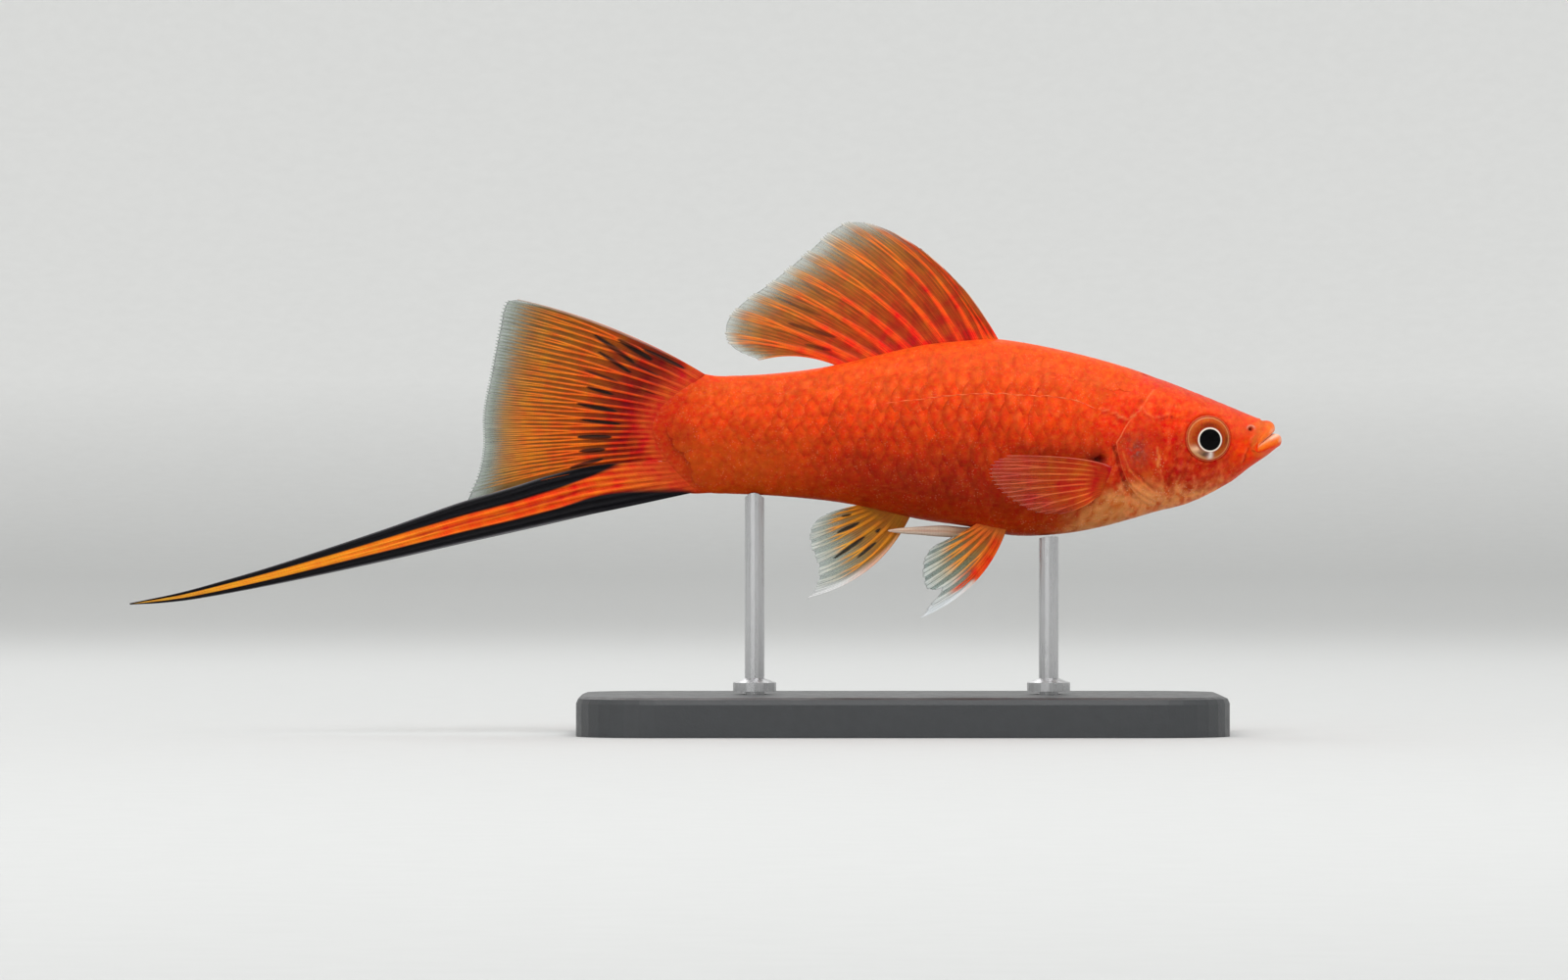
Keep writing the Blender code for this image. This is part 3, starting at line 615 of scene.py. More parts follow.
            colour = mix(colour, speck, min(0.26, strength * abs(fine)))
        # Painted shade in the hollow behind the pectoral fin's root.
        pocket = self.pocket_distance(back, up)
        if pocket < 1.8:
            colour = mix(colour, self.pocket, 0.95 * bell(pocket, 0.7))
        if lines:
            colour = self.drawn(colour, self.folds, self.pale_line, back, up)
        if back > 58:
            return coats(colour, (self.dusk, 0.36 * rise(back, 58, 63)),
                         (self.ray_pink, 0.3 * self.ray_roots(back, up)))
        if back > 13:
            return colour
        # Painted shade in the nostril and the pore; the pale upper rim of the nostril is partly painted
        # highlight.
        nose = math.hypot(back - self.nostril_at[0], (up - self.nostril_at[1]) * 1.1)
        pore = math.hypot(back - self.pore_at[0], up - self.pore_at[1])
        return coats(colour, (self.lip_edge_and_highlight, 0.45 * bell(nose - 0.36, 0.09) * rise(up, 0.6, 1.0)),
                     (self.opening_shade, bell(nose, 0.25)), (self.opening_shade, 0.7 * bell(pore, 0.13)))

    def pocket_distance(self, back: float, up: float) -> float:
        """How far a place is from the hollow behind the pectoral fin's root, which is longer than high."""
        return math.hypot((back - self.pocket_at[0]) / 1.5, up - self.pocket_at[1])

    def drawn(self, colour: Colour, strokes: tuple[Stroke, ...], pale: Colour, back: float,
              up: float) -> Colour:
        """A colour with strokes drawn over it.

        Args:
            colour: the colour beneath.
            strokes: the strokes.
            pale: the colour of the pale ones that have none of their own.
            back: distance behind the lip.
            up: height.

        Returns:
            The linear colour.
        """
        broken = min(1.0, 0.85 + 0.8 * patches(back, up, 2.6, 1.4))
        back, up = wander(back, up)
        for stroke in strokes:
            near = stroke.nearness(back, up)
            if near > 0.01:
                # A dark stroke without a tint of its own takes the painted crease shade.
                paler = stroke.tint or (pale if stroke.pale > 0 else self.crease_shade)
                colour = mix(colour, paler, near * abs(stroke.pale) * broken)
        return colour

    def ray_roots(self, back: float, up: float) -> float:
        """How strongly the roots of the tail rays show as fine pale lines.

        Args:
            back: distance behind the lip.
            up: height.

        Returns:
            The share.
        """
        edge = self.trunk.flesh_edge.at(up)
        beside = (6.35 - up) / 0.489
        return bell(beside - round(beside), 0.24) * rise(back, edge - 1.2, edge - 0.3)

    def face(self, back: float, up: float, share: float) -> Colour:
        """The colour of the bare head, before its throat, folds and nostrils.

        Args:
            back: distance behind the lip.
            up: height.
            share: how high the place is between the belly line and the back line.

        Returns:
            The linear colour.
        """
        around = math.hypot(back - self.eye.back, up - self.eye.up) - self.eye.radius
        return coats(
            self.bands_and_shade.at(share), (self.snout, rise(back, 9, 3.5) * rise(up, -1.2, 0.8)),
            (self.snout_side, rise(back, 7.5, 3.5) * rise(up, 0.6, -0.8) * rise(share, -0.2, 0.2)),
            (self.nape, 0.6 * rise(share, 0.86, 1.0) * rise(back, 2.5, 4.5)),
            (self.cheek, 0.8 * bell(back - 10.9, 1.9) * bell(up + 1.9, 2.0)),
            (self.cheek, 0.6 * rise(up, 1.0, -2.0) * rise(around, 1.3, 0.1)))

    def scale_show(self, back: float, share: float) -> float:
        """How clearly the scales' edges show.

        Args:
            back: distance behind the lip.
            share: the share of the girth, 0 under the belly and 1 along the back.

        Returns:
            The share.
        """
        side = share if share <= 1 else 2 - share
        middle = 0.22 + 0.78 * bell(side - 0.56, 0.25)
        return middle * (0.4 + 0.6 * rise(back, 17, 24)) * (1 - 0.5 * rise(back, 44, 57))

    def flecks(self, back: float, up: float) -> float:
        """How thickly pale flecks lie.

        Args:
            back: distance behind the lip.
            up: height.

        Returns:
            The share.
        """
        gill = 0.9 * bell(back - 12.6, 1.3) * bell(up + 3.4, 2.3)
        if back < 30 and up < -3:
            return max(gill, 0.25 + 0.75 * rise(up, self.tan_edge.at(back) + 1.6, self.tan_edge.at(back)))
        return max(gill, 0.25 * rise(back, 4, 9))

    def gill_tone(self, back: float, up: float) -> Colour:
        """The colour of a gill cover at a place.

        Args:
            back: distance behind the lip.
            up: height.

        Returns:
            The linear colour.
        """
        cloud = rise(patches(back, up, 1.6, 4.4), -0.35, 0.35)
        speck = rise(patches(back, up, 3.4, 7.9), 0.1, 0.5)
        colour = coats(
            self.tone(back, up), (self.gill_red, 0.6 * rise(up, -5.0, -2.5) * rise(up, 2.8, 0.8)),
            (self.gill_dusk, (0.3 + 0.45 * cloud) * bell(back - 15.0, 1.4) * bell(up + 1.5, 1.7)),
            (self.gill_speck, 0.5 * speck * bell(back - 14.9, 0.9) * bell(up + 1.6, 1.1)),
            (self.dusk, 0.35 * bell(back - 12.4, 0.9) * bell(up, 0.8)),
            (self.gill_low, 0.45 * bell(back - 14.2, 1.6) * bell(up + 4.4, 1.3)),
            (self.tan, 0.6 * rise(up, -3.8, -6.0)))
        return self.drawn(colour, self.gill_lines, self.gill_gold, back, up)


class Bench:
    """Places nodes in one node tree and links them."""

    def __init__(self, tree: bpy.types.NodeTree) -> None:
        """Starts on a node tree."""
        self.tree = tree

    def feed(self, socket: Socket, value: object) -> None:
        """Links a socket to another one, or gives it a value.

        Args:
            socket: the input.
            value: an output, a number, a vector or a colour with its alpha.
        """
        if isinstance(value, bpy.types.NodeSocket):
            self.tree.links.new(value, socket)
        else:
            socket.default_value = value

    def set(self, node: bpy.types.Node, **settings: object) -> None:
        """Sets a node up.

        Args:
            node: the node.
            settings: attributes, or inputs by their socket names with underscores for spaces.
        """
        for name, value in settings.items():
            if name in node.bl_rna.properties:
                setattr(node, name, value)
            else:
                self.feed(node.inputs[name.replace("_", " ")], value)

    def node(self, kind: str, **settings: object) -> bpy.types.Node:
        """Adds a node.

        Args:
            kind: the node's type without its ShaderNode prefix.
            settings: the same as for set.

        Returns:
            The node.
        """
        made = self.tree.nodes.new("ShaderNode" + kind)
        self.set(made, **settings)
        return made

    def math(self, operation: str, one: object, two: object = 0.0) -> Socket:
        """A Math node.

        Args:
            operation: what it does.
            one: its first socket or number.
            two: its second.

        Returns:
            Its result.
        """
        made = self.node("Math", operation=operation)
        self.feed(made.inputs[0], one)
        self.feed(made.inputs[1], two)
        return made.outputs[0]

    def times(self, one: object, two: object) -> Socket:
        """The product of two sockets or numbers."""
        return self.math("MULTIPLY", one, two)

    def plus(self, one: object, two: object) -> Socket:
        """The sum of two sockets or numbers."""
        return self.math("ADD", one, two)

    def less(self, one: object, two: object) -> Socket:
        """The difference of two sockets or numbers."""
        return self.math("SUBTRACT", one, two)

    def blend(self, share: object, one: object, two: Colour, kind: str = "MIX") -> Socket:
        """A colour mix.

        Args:
            share: how much of the second colour is laid on.
            one: the first colour or its socket.
            two: the second colour.
            kind: how it is laid on.

        Returns:
            The mixed colour.
        """
        made = self.node("Mix", data_type="RGBA", blend_type=kind)
        self.feed(made.inputs[0], share)
        self.feed(made.inputs[6], one if isinstance(one, bpy.types.NodeSocket) else (*one, 1))
        self.feed(made.inputs[7], (*two, 1))
        return made.outputs[2]


def new_finish(name: str) -> tuple[Material, Bench, bpy.types.Node, Socket]:
    """Starts a material.

    Args:
        name: its name.

    Returns:
        The material, its bench, its shader and the place in the frame.
    """
    material = bpy.data.materials.new(name)
    material.use_nodes = True
    bench = Bench(material.node_tree)
    place = bench.node("TexCoord").outputs["Object"]
    return material, bench, material.node_tree.nodes["Principled BSDF"], place


class SharedEffects:
    """The node groups that more than one finish uses, each built once."""

    def __init__(self) -> None:
        """Builds the groups."""
        self.mottle = self.build_mottle()
        self.grain = self.build_grain()

    @staticmethod
    def start(name: str, inputs: dict[str, str], result: tuple[str, str]) -> tuple[Bench, dict, Socket]:
        """Opens a node group with named sockets.

        Args:
            name: the group's name.
            inputs: the kind of each input by name.
            result: the name and the kind of its output.

        Returns:
            The group's bench, its given sockets by name, and the socket that takes the result.
        """
        group = bpy.data.node_groups.new(name, "ShaderNodeTree")
        for title, kind in inputs.items():
            group.interface.new_socket(title, in_out="INPUT", socket_type="NodeSocket" + kind)
        group.interface.new_socket(result[0], in_out="OUTPUT", socket_type="NodeSocket" + result[1])
        given = {socket.name: socket for socket in group.nodes.new("NodeGroupInput").outputs}
        return Bench(group), given, group.nodes.new("NodeGroupOutput").inputs[result[0]]

    def build_mottle(self) -> bpy.types.NodeTree:
        """Soft blotches that lighten, darken and warm a colour, as living skin has.

        Returns:
            The group.
        """
        inputs = {"Color": "Color", "Vector": "Vector", "Scale": "Float", "Amount": "Float", "Drift": "Float"}
        bench, given, result = self.start("Mottle", inputs, ("Color", "Color"))
        place, scale = given["Vector"], given["Scale"]
        broad = bench.node("TexNoise", Vector=place, Scale=scale, Detail=4.0, Roughness=0.6)
        fine = bench.node("TexNoise", Vector=place, Scale=bench.times(scale, 6.3), Detail=3.0, Roughness=0.7)
        both = bench.plus(bench.times(broad.outputs["Fac"], 0.65), bench.times(fine.outputs["Fac"], 0.35))
        value = bench.plus(bench.times(bench.less(both, 0.5), given["Amount"]), 1.0)
        warm = bench.node("TexNoise", Vector=place, Scale=bench.times(scale, 2.3), Detail=2.0)
        hue = bench.plus(bench.times(bench.less(warm.outputs["Fac"], 0.5), given["Drift"]), 0.5)
        changed = bench.node("HueSaturation", Hue=hue, Value=value, Color=given["Color"])
        bench.feed(result, changed.outputs["Color"])
        return bench.tree

    def build_grain(self) -> bpy.types.NodeTree:
        """A fine uneven surface as a normal.

        Returns:
            The group.
        """
        inputs = {"Vector": "Vector", "Scale": "Float", "Height": "Float", "Depth": "Float"}
        bench, given, result = self.start("Fine grain", inputs, ("Normal", "Vector"))
        fine = bench.node("TexNoise", Vector=given["Vector"], Scale=given["Scale"], Detail=3.0)
        height = bench.plus(bench.times(fine.outputs["Fac"], given["Depth"]), given["Height"])
        bump = bench.node("Bump", Strength=1.0, Distance=0.0001, Height=height)
        bench.feed(result, bump.outputs["Normal"])
        return bench.tree


@dataclass(frozen=True)
class Finish:
    """A finish painted from a piece's own Tone attribute, with mottling and grain."""

    name: str
    roughness: float
    mottle_scale: float
    mottle: float
    grain_scale: float
    grain: float
    coat: float = 0.0
    coat_roughness: float = 0.12
    specular: float = 0.3
    subsurface: float = 0.0
    subsurface_scale: float = 0.0008
    drift: float = 0.05
    see_through: bool = False

    def make(self, effects: SharedEffects) -> Material:
        """Builds the material.

        Args:
            effects: the shared node groups.

        Returns:
            The material.
        """
        material, bench, shader, place = new_finish(self.name)
        tone = bench.node("Attribute", attribute_name="Tone")
        mottle = bench.node("Group", node_tree=effects.mottle, Color=tone.outputs["Color"], Vector=place,
                            Scale=self.mottle_scale, Amount=self.mottle, Drift=self.drift)
        colour, height = self.detail(bench, mottle.outputs["Color"], tone.outputs["Alpha"], place)
        grain = bench.node("Group", node_tree=effects.grain, Vector=place, Scale=self.grain_scale,
                           Height=height, Depth=self.grain)
        bench.set(shader, Base_Color=colour, Normal=grain.outputs["Normal"], Roughness=self.roughness,
                  Specular_IOR_Level=self.specular, Coat_Weight=self.coat, Coat_Roughness=self.coat_roughness)
        if self.subsurface:
            bench.set(shader, Subsurface_Weight=self.subsurface, Subsurface_Radius=(1.0, 0.3, 0.12),
                      Subsurface_Scale=self.subsurface_scale)
        if self.see_through:
            bench.set(shader, Alpha=tone.outputs["Alpha"])
        return material

    def detail(self, bench: Bench, colour: Socket, share: Socket, place: Socket) -> tuple[Socket, object]:
        """Adds the finish's own pattern, and the plain one adds none."""
        return colour, 0.0


@dataclass(frozen=True)
class SkinFinish(Finish):
    """Bare skin with pale flecks, thick where the Tone attribute's alpha is high."""

    fleck: Colour = (1.0, 0.60, 0.36)

    def detail(self, bench: Bench, colour: Socket, share: Socket, place: Socket) -> tuple[Socket, object]:
        """Strews the flecks.

        Args:
            bench: the material's bench.
            colour: the colour so far.
            share: the Tone attribute's alpha.
            place: the place in the frame.

        Returns:
            The colour and the height.
        """
        cells = bench.node("TexVoronoi", Vector=place, Scale=3600.0, Randomness=1.0)
        spot = bench.node("MapRange", Value=cells.outputs["Distance"], From_Min=0.34, From_Max=0.12)
        patch = bench.node("TexNoise", Vector=place, Scale=900.0, Detail=2.0)
        shown = bench.node("MapRange", Value=patch.outputs["Fac"], From_Min=0.42, From_Max=0.66)
        amount = bench.times(bench.times(spot.outputs[0], shown.outputs[0]), share)
        return bench.blend(bench.times(amount, 0.5), colour, self.fleck), bench.times(amount, 0.25)


@dataclass(frozen=True)
class ScaleFinish(SkinFinish):
    """The scales: an upright paler dash in the middle that is partly painted highlight, a darker rear rim and
    fine growth rings.
    """

    rim_shade: Colour = (0.62, 0.34, 0.25)

    def detail(self, bench: Bench, colour: Socket, share: Socket, place: Socket) -> tuple[Socket, object]:
        """Draws each scale's dash, rim and rings from its own plate map, and strews the flecks.

        Args:
            bench: the material's bench.
            colour: the colour so far.
            share: the Tone attribute's alpha.
            place: the place in the frame.

        Returns:
            The colour and the height.
        """
        plate = bench.node("UVMap", uv_map="Plate")
        shown = bench.node("Attribute", attribute_name="Clear").outputs["Fac"]
        parts = bench.node("SeparateXYZ", Vector=plate.outputs["UV"])
        across, along = (bench.less(bench.times(parts.outputs[axis], 2.0), 1.0) for axis in "XY")
        reach = self.oval(bench, across, along)
        # The paler upright dash in each scale's middle is partly the scale's own colour and partly painted
        # highlight.
        slant = bench.plus(bench.less(along, 0.38), bench.times(across, 0.12))
        dash = self.oval(bench, bench.times(across, 1.15), bench.times(slant, 2.1))
        uneven = bench.node("TexNoise", Vector=place, Scale=2300.0, Detail=3.0)
        ragged = bench.plus(dash, bench.times(uneven.outputs["Fac"], 1.1))
        dash_highlight = bench.node("MapRange", Value=ragged, From_Min=1.5, From_Max=0.6, To_Min=-0.10, To_Max=0.15)
        value = bench.plus(bench.times(dash_highlight.outputs[0], shown), 1.0)
        rim = bench.node("MapRange", interpolation_type="SMOOTHSTEP", Value=reach, From_Min=0.56,
                         From_Max=1.05, To_Min=0.0, To_Max=0.46)
        rear = bench.node("MapRange", Value=along, From_Min=-0.2, From_Max=0.5)
        patch = bench.node("TexNoise", Vector=place, Scale=620.0, Detail=3.0)
        broken = bench.node("MapRange", Value=patch.outputs["Fac"], From_Min=0.38, From_Max=0.62)
        edge = bench.times(bench.times(rim.outputs[0], rear.outputs[0]), broken.outputs[0])
        lighter = bench.node("HueSaturation", Hue=0.503, Value=value, Color=colour).outputs["Color"]
        darker = bench.blend(bench.times(edge, shown), lighter, self.rim_shade, "MULTIPLY")
        flecked, height = super().detail(bench, darker, share, place)
        rings = bench.math("SINE", bench.times(reach, 64.0))
        return flecked, bench.plus(bench.times(rings, 0.008), height)

    @staticmethod
    def oval(bench: Bench, one: Socket, two: Socket) -> Socket:
        """The distance from the middle by the two distances across and along."""
        return bench.math("SQRT", bench.plus(bench.times(one, one), bench.times(two, two)))


@dataclass(frozen=True)
class FinFinish(Finish):
    """Fin skin and rays: streaks along the rays and the rays' fine joints."""

    def detail(self, bench: Bench, colour: Socket, share: Socket, place: Socket) -> tuple[Socket, object]:
        """Draws streaks and joints from the fin's own map, across it in X and along its rays in Y.

        Args:
            bench: the material's bench.
            colour: the colour so far.
            share: the Tone attribute's alpha, not used.
            place: the place in the frame, not used.

        Returns:
            The colour and the height.
        """
        spread = bench.node("UVMap", uv_map="Rays")
        mapping = bench.node("Mapping", Vector=spread.outputs["UV"], Scale=(300.0, 8.0, 1.0))
        streaks = bench.node("TexNoise", Vector=mapping.outputs["Vector"], Scale=1.0, Detail=2.0)
        shade = bench.node("MapRange", Value=streaks.outputs["Fac"], From_Min=0.3, From_Max=0.7,
                           To_Min=0.66, To_Max=1.3)
        parts = bench.node("SeparateXYZ", Vector=spread.outputs["UV"])
        joints = bench.math("SINE", bench.times(parts.outputs["Y"], 420.0))
        both = bench.plus(shade.outputs[0], bench.times(joints, 0.025))
        streaked = bench.node("HueSaturation", Value=both, Color=colour)
        return streaked.outputs["Color"], bench.times(streaks.outputs["Fac"], 0.35)


@dataclass(frozen=True)
class StandFinish:
    """The stand's satin plate or brushed rods."""

    name: str
    colour: Colour
    roughness: float
    metallic: float
    grain_scale: float
    grain: float
    brushing: float = 1.0
    swing: float = 0.07

    def make(self, effects: SharedEffects) -> Material:
        """Builds the material.

        Args:
            effects: the shared node groups.

        Returns:
            The material.
        """
        material, bench, shader, place = new_finish(self.name)
        drawn = bench.node("Mapping", Vector=place, Scale=(1.0, 1.0, self.brushing)).outputs["Vector"]
        cloud = bench.node("TexNoise", Vector=drawn, Scale=self.grain_scale, Detail=4.0).outputs["Fac"]
        dark, light = (tuple(min(1.0, value * share) for value in self.colour) for share in (0.82, 1.15))
        rough = bench.node("MapRange", Value=cloud, From_Min=0.3, From_Max=0.7,
                           To_Min=self.roughness - self.swing, To_Max=self.roughness + self.swing)
        grain = bench.node("Group", node_tree=effects.grain, Vector=drawn, Scale=self.grain_scale * 4,
                           Depth=self.grain)
        bench.set(shader, Base_Color=bench.blend(cloud, dark, light), Roughness=rough.outputs[0],
                  Normal=grain.outputs["Normal"], Metallic=self.metallic)
        return material


def settle(name: str, bm: Mesh, material: Material, slot: str, *nodes: str) -> None:
    """Makes a finished piece of a bmesh, rides it on the fish and lets it stand for CAD nodes.

    Args:
        name: the piece's name.
        bm: its mesh, in metres.
        material: its finish.
        slot: the record's material slot, not used.
        nodes: the CAD nodes that it takes the place of.
    """
    bmesh.ops.recalc_face_normals(bm, faces=bm.faces)
    mesh = bpy.data.meshes.new(name)
    bm.to_mesh(mesh)
    bm.free()
    mesh.materials.append(material)
    mesh.shade_smooth()
    piece = bpy.data.objects.new(name, mesh)
    bpy.context.scene.collection.objects.link(piece)
    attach(piece, "root")
    if nodes:
        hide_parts(*nodes)
    log.info("%s: %d faces", name, len(mesh.polygons))


def doubled(bm: Mesh) -> set[bmesh.types.BMVert]:
    """Gives a sheet its second face, joined to it round the edge.

    Args:
        bm: the sheet.

    Returns:
        The second face's points.
    """
    copied = bmesh.ops.extrude_face_region(bm, geom=bm.faces[:])["geom"]
    return {item for item in copied if isinstance(item, bmesh.types.BMVert)}


def spun(profile: list[tuple[float, float]], steps: int, merge: float) -> Mesh:
    """Spins a profile round the upright.

    Args:
        profile: its points as distances from the axis and heights.
        steps: faces round the form.
        merge: points nearer than this are joined.

    Returns:
        The form.
    """
    bm = bmesh.new()
    verts = [bm.verts.new((reach, 0, height)) for reach, height in profile]
    edges = [bm.edges.new(pair) for pair in zip(verts, verts[1:])]
    bmesh.ops.spin(bm, geom=verts + edges, cent=(0, 0, 0), axis=(0, 0, 1), angle=2 * math.pi, steps=steps,
                   use_merge=True, dvec=(0, 0, 0))
    bmesh.ops.remove_doubles(bm, verts=bm.verts, dist=merge)
    return bm


def on_disc(x: float, y: float) -> tuple[float, float]:
    """A place of a square from -1 to 1 moved to its place on a round disc."""
    return x * math.sqrt(1 - y * y / 2), y * math.sqrt(1 - x * x / 2)


def grid(columns: int, rows: int, *maps: str) -> tuple[Mesh, dict, dict]:
    """A flat grid whose points know their column and row.

    Args:
        columns: faces across.
        rows: faces along.
        maps: the names of the UV maps that it gets.

    Returns:
        The bmesh, each point's (column, row), and its layers by name, with Tone for the colour of each point.
    """
    bm = bmesh.new()
    layers = {"Tone": bm.verts.layers.float_color.new("Tone"), "number": bm.verts.layers.int.new("number")}
    for name in maps:
        layers[name] = bm.loops.layers.uv.new(name)
    bmesh.ops.create_grid(bm, x_segments=columns, y_segments=rows, size=0.5)
    spots = {v: (round((v.co.x + 0.5) * columns), round((v.co.y + 0.5) * rows)) for v in bm.verts}
    for vert, (column, row) in spots.items():
        vert[layers["number"]] = row * (columns + 1) + column
    return bm, spots, layers


@dataclass
class Skin:
    """One skin over the head, the trunk and the tail stem, from inside the mouth to the tail fin's root."""

    trunk: Trunk
    livery: Livery
    eye: Eye
    around: int = 232
    coat_depth: float = 0.08
    lip_rows: int = 16
    snout_rows: int = 36
    snout_end: float = 6.0
    head_end: float = 17.6
    head_step: float = 0.13
    trunk_step: float = 0.5
    tail_from: float = 57.0
    tail_rows: int = 24
    corner_turn: float = math.radians(-20)
    upper_front: tuple[float, float] = (1.15, 0.35)
    lower_front: tuple[float, float] = (1.10, 0.30)
    corner: tuple[float, float, float] = (2.5, 1.9, -1.05)
    upper_lip: tuple[float, float, float, float] = (0.50, 0.50, 0.92, 0.80)
    lower_lip: tuple[float, float] = (1.12, 0.70)
    corner_lip: tuple[float, float, float, float] = (0.22, 0.34, 0.12, 0.2)
    root_swell: tuple[float, float] = (17.9, -2.9)

    def rows(self) -> list[tuple[str, float]]:
        """The grid's rows from the mouth to the tail.

        Returns:
            Each row's part of the body and its place in that part.
        """
        found = [("inside", 0.0), ("inside", 0.5), ("inside", 1.0)]
        found += [("lip", k / self.lip_rows) for k in range(self.lip_rows + 1)]
        found += [("snout", k / self.snout_rows) for k in range(self.snout_rows)]
        for first, last, step in ((self.snout_end, self.head_end, self.head_step),
                                  (self.head_end, self.tail_from, self.trunk_step)):
            steps = round((last - first) / step)
            found += [("trunk", first + (last - first) * k / steps) for k in range(steps)]
        return found + [("tail", k / self.tail_rows) for k in range(self.tail_rows + 1)]

    def mouth_share(self, turn: float) -> tuple[float, bool]:
        """Where a turn is round the mouth.

        Args:
            turn: angle round the section.

        Returns:
            How far it is from the front of the mouth to its corner, and whether it is on the upper lip.
        """
        turn = math.atan2(math.sin(turn), abs(math.cos(turn)))
        if turn > self.corner_turn:
            return (math.pi / 2 - turn) / (math.pi / 2 - self.corner_turn), True
        return (turn + math.pi / 2) / (self.corner_turn + math.pi / 2), False

    def lip_point(self, turn: float, inside: float, roll: float) -> Vector:
        """A point in the mouth or on a lip.

        Args:
            turn: angle round the mouth.
            inside: 0 deep in the mouth, 1 where the lips meet.
            roll: 0 where the lips meet, 1 where a lip runs out on the snout.

        Returns:
            The point as (back, out, up).
        """
        share, upper = self.mouth_share(turn)
        bend = share * math.pi / 2
        side = math.copysign(1.0, math.cos(turn))
        front_back, front_up = self.upper_front if upper else self.lower_front
        corner_back, corner_out, corner_up = self.corner
        reach = 1 - math.cos(bend)
        meet = Vector((front_back + (corner_back - front_back) * reach, side * corner_out * math.sin(bend),
                       front_up + (corner_up - front_up) * reach))
        facing = Vector((-math.cos(bend), side * math.sin(bend), 0))
        if inside < 1:
            deep = (0.9 + (self.upper_front[0] - front_back)) * math.cos(bend) + 0.12
            sunk = meet - facing * deep * (1 - inside)
            middle = 0.3 + (corner_up - 0.3) * reach
            sunk.z = meet.z * inside + middle * (1 - inside) + (0.01 if upper else -0.01)
            return sunk
        rolled = math.radians(-88 + (185 if upper else 160) * roll)
        front_lip = self.upper_lip if upper else self.lower_lip
        forward, tall, *rest = (c + (f - c) * math.cos(bend) for c, f in zip(self.corner_lip, front_lip))
        swell = Vector((0, 0, tall * (1 + math.sin(rolled))))
        if not upper:
            return meet + facing * forward * math.cos(rolled) ** 0.45 - swell
        if rolled < 0:
            return meet + facing * forward * math.cos(rolled) ** 0.7 + swell
        depth, height = rest
        reach = forward - depth * (1 - math.cos(rolled))
        return meet + facing * reach + Vector((0, 0, tall + height * math.sin(rolled)))

    def snout_point(self, turn: float, along: float) -> Vector:
        """A point of the snout between a lip and the first whole section.

        Args:
            turn: angle round the section.
            along: 0 just behind the lip, 1 at the first whole section.

        Returns:
            The point as (back, out, up).
        """
        share, upper = self.mouth_share(turn)
        start = (1.86 if upper else 1.15) * (1 - share) + 3.1 * share
        return self.trunk.point(start + (self.snout_end - start) * along, turn)

    def tail_point(self, turn: float, along: float) -> Vector:
        """A point of the tail stem's end, which bulges into the tail fin and thins out to nothing.

        Args:
            turn: angle round the section.
            along: 0 at the last whole section, 1 at the flesh's edge.

        Returns:
            The point as (back, out, up).
        """
        last = self.trunk.flesh_edge.at(self.trunk.point(61.0, turn).z) + 0.3
        found = self.trunk.point(self.tail_from + (last - self.tail_from) * along, turn)
        found.y *= math.sqrt(max(0.0, 1 - max(0.0, (along - 0.84) / 0.16) ** 2.5)) * (1 - 0.25 * along)
        return found

    def relief(self, back: float, up: float) -> float:
        """How far the bare form is pushed out or in.

        Args:
            back: distance behind the lip.
            up: height.

        Returns:
            The push outwards.
        """
        if back > 58:
            edge = self.trunk.flesh_edge.at(up)
            return 0.02 * self.livery.ray_roots(back, up) - self.coat_depth * rise(back, edge, edge - 2.0)
        if back > 23:
            return -self.coat_depth
        scaled = rise(back, 12.5 - 0.25 * up, 15.5 - 0.25 * up)
        lift = -self.coat_depth * scaled
        around = math.hypot(back - self.eye.back, up - self.eye.up)
        if around < 4.5:
            lift -= 1.3 * rise(around, self.eye.radius + 0.05, self.eye.radius - 0.35)
            lift += 0.08 * bell(around - self.eye.radius - 0.28, 0.2)
            lift -= 0.05 * bell(around - self.eye.radius - 0.85, 0.3)
        nose = math.hypot(back - self.livery.nostril_at[0], up - self.livery.nostril_at[1])
        lift -= 0.35 * bell(nose, 0.2)
        lift += 0.07 * bell(nose - 0.38, 0.13)
        lift -= 0.6 * bell(self.livery.pocket_distance(back, up), 0.55)
        lift += 0.15 * bell(math.hypot(back - self.root_swell[0], up - self.root_swell[1]), 0.4)
        lift += 0.02 * patches(back, up, 2.2, 3.3) * rise(back, 3.0, 5.0)
        back, up = wander(back, up)
        for fold in self.livery.folds:
            lift += fold.height * fold.nearness(back, up)
        return lift

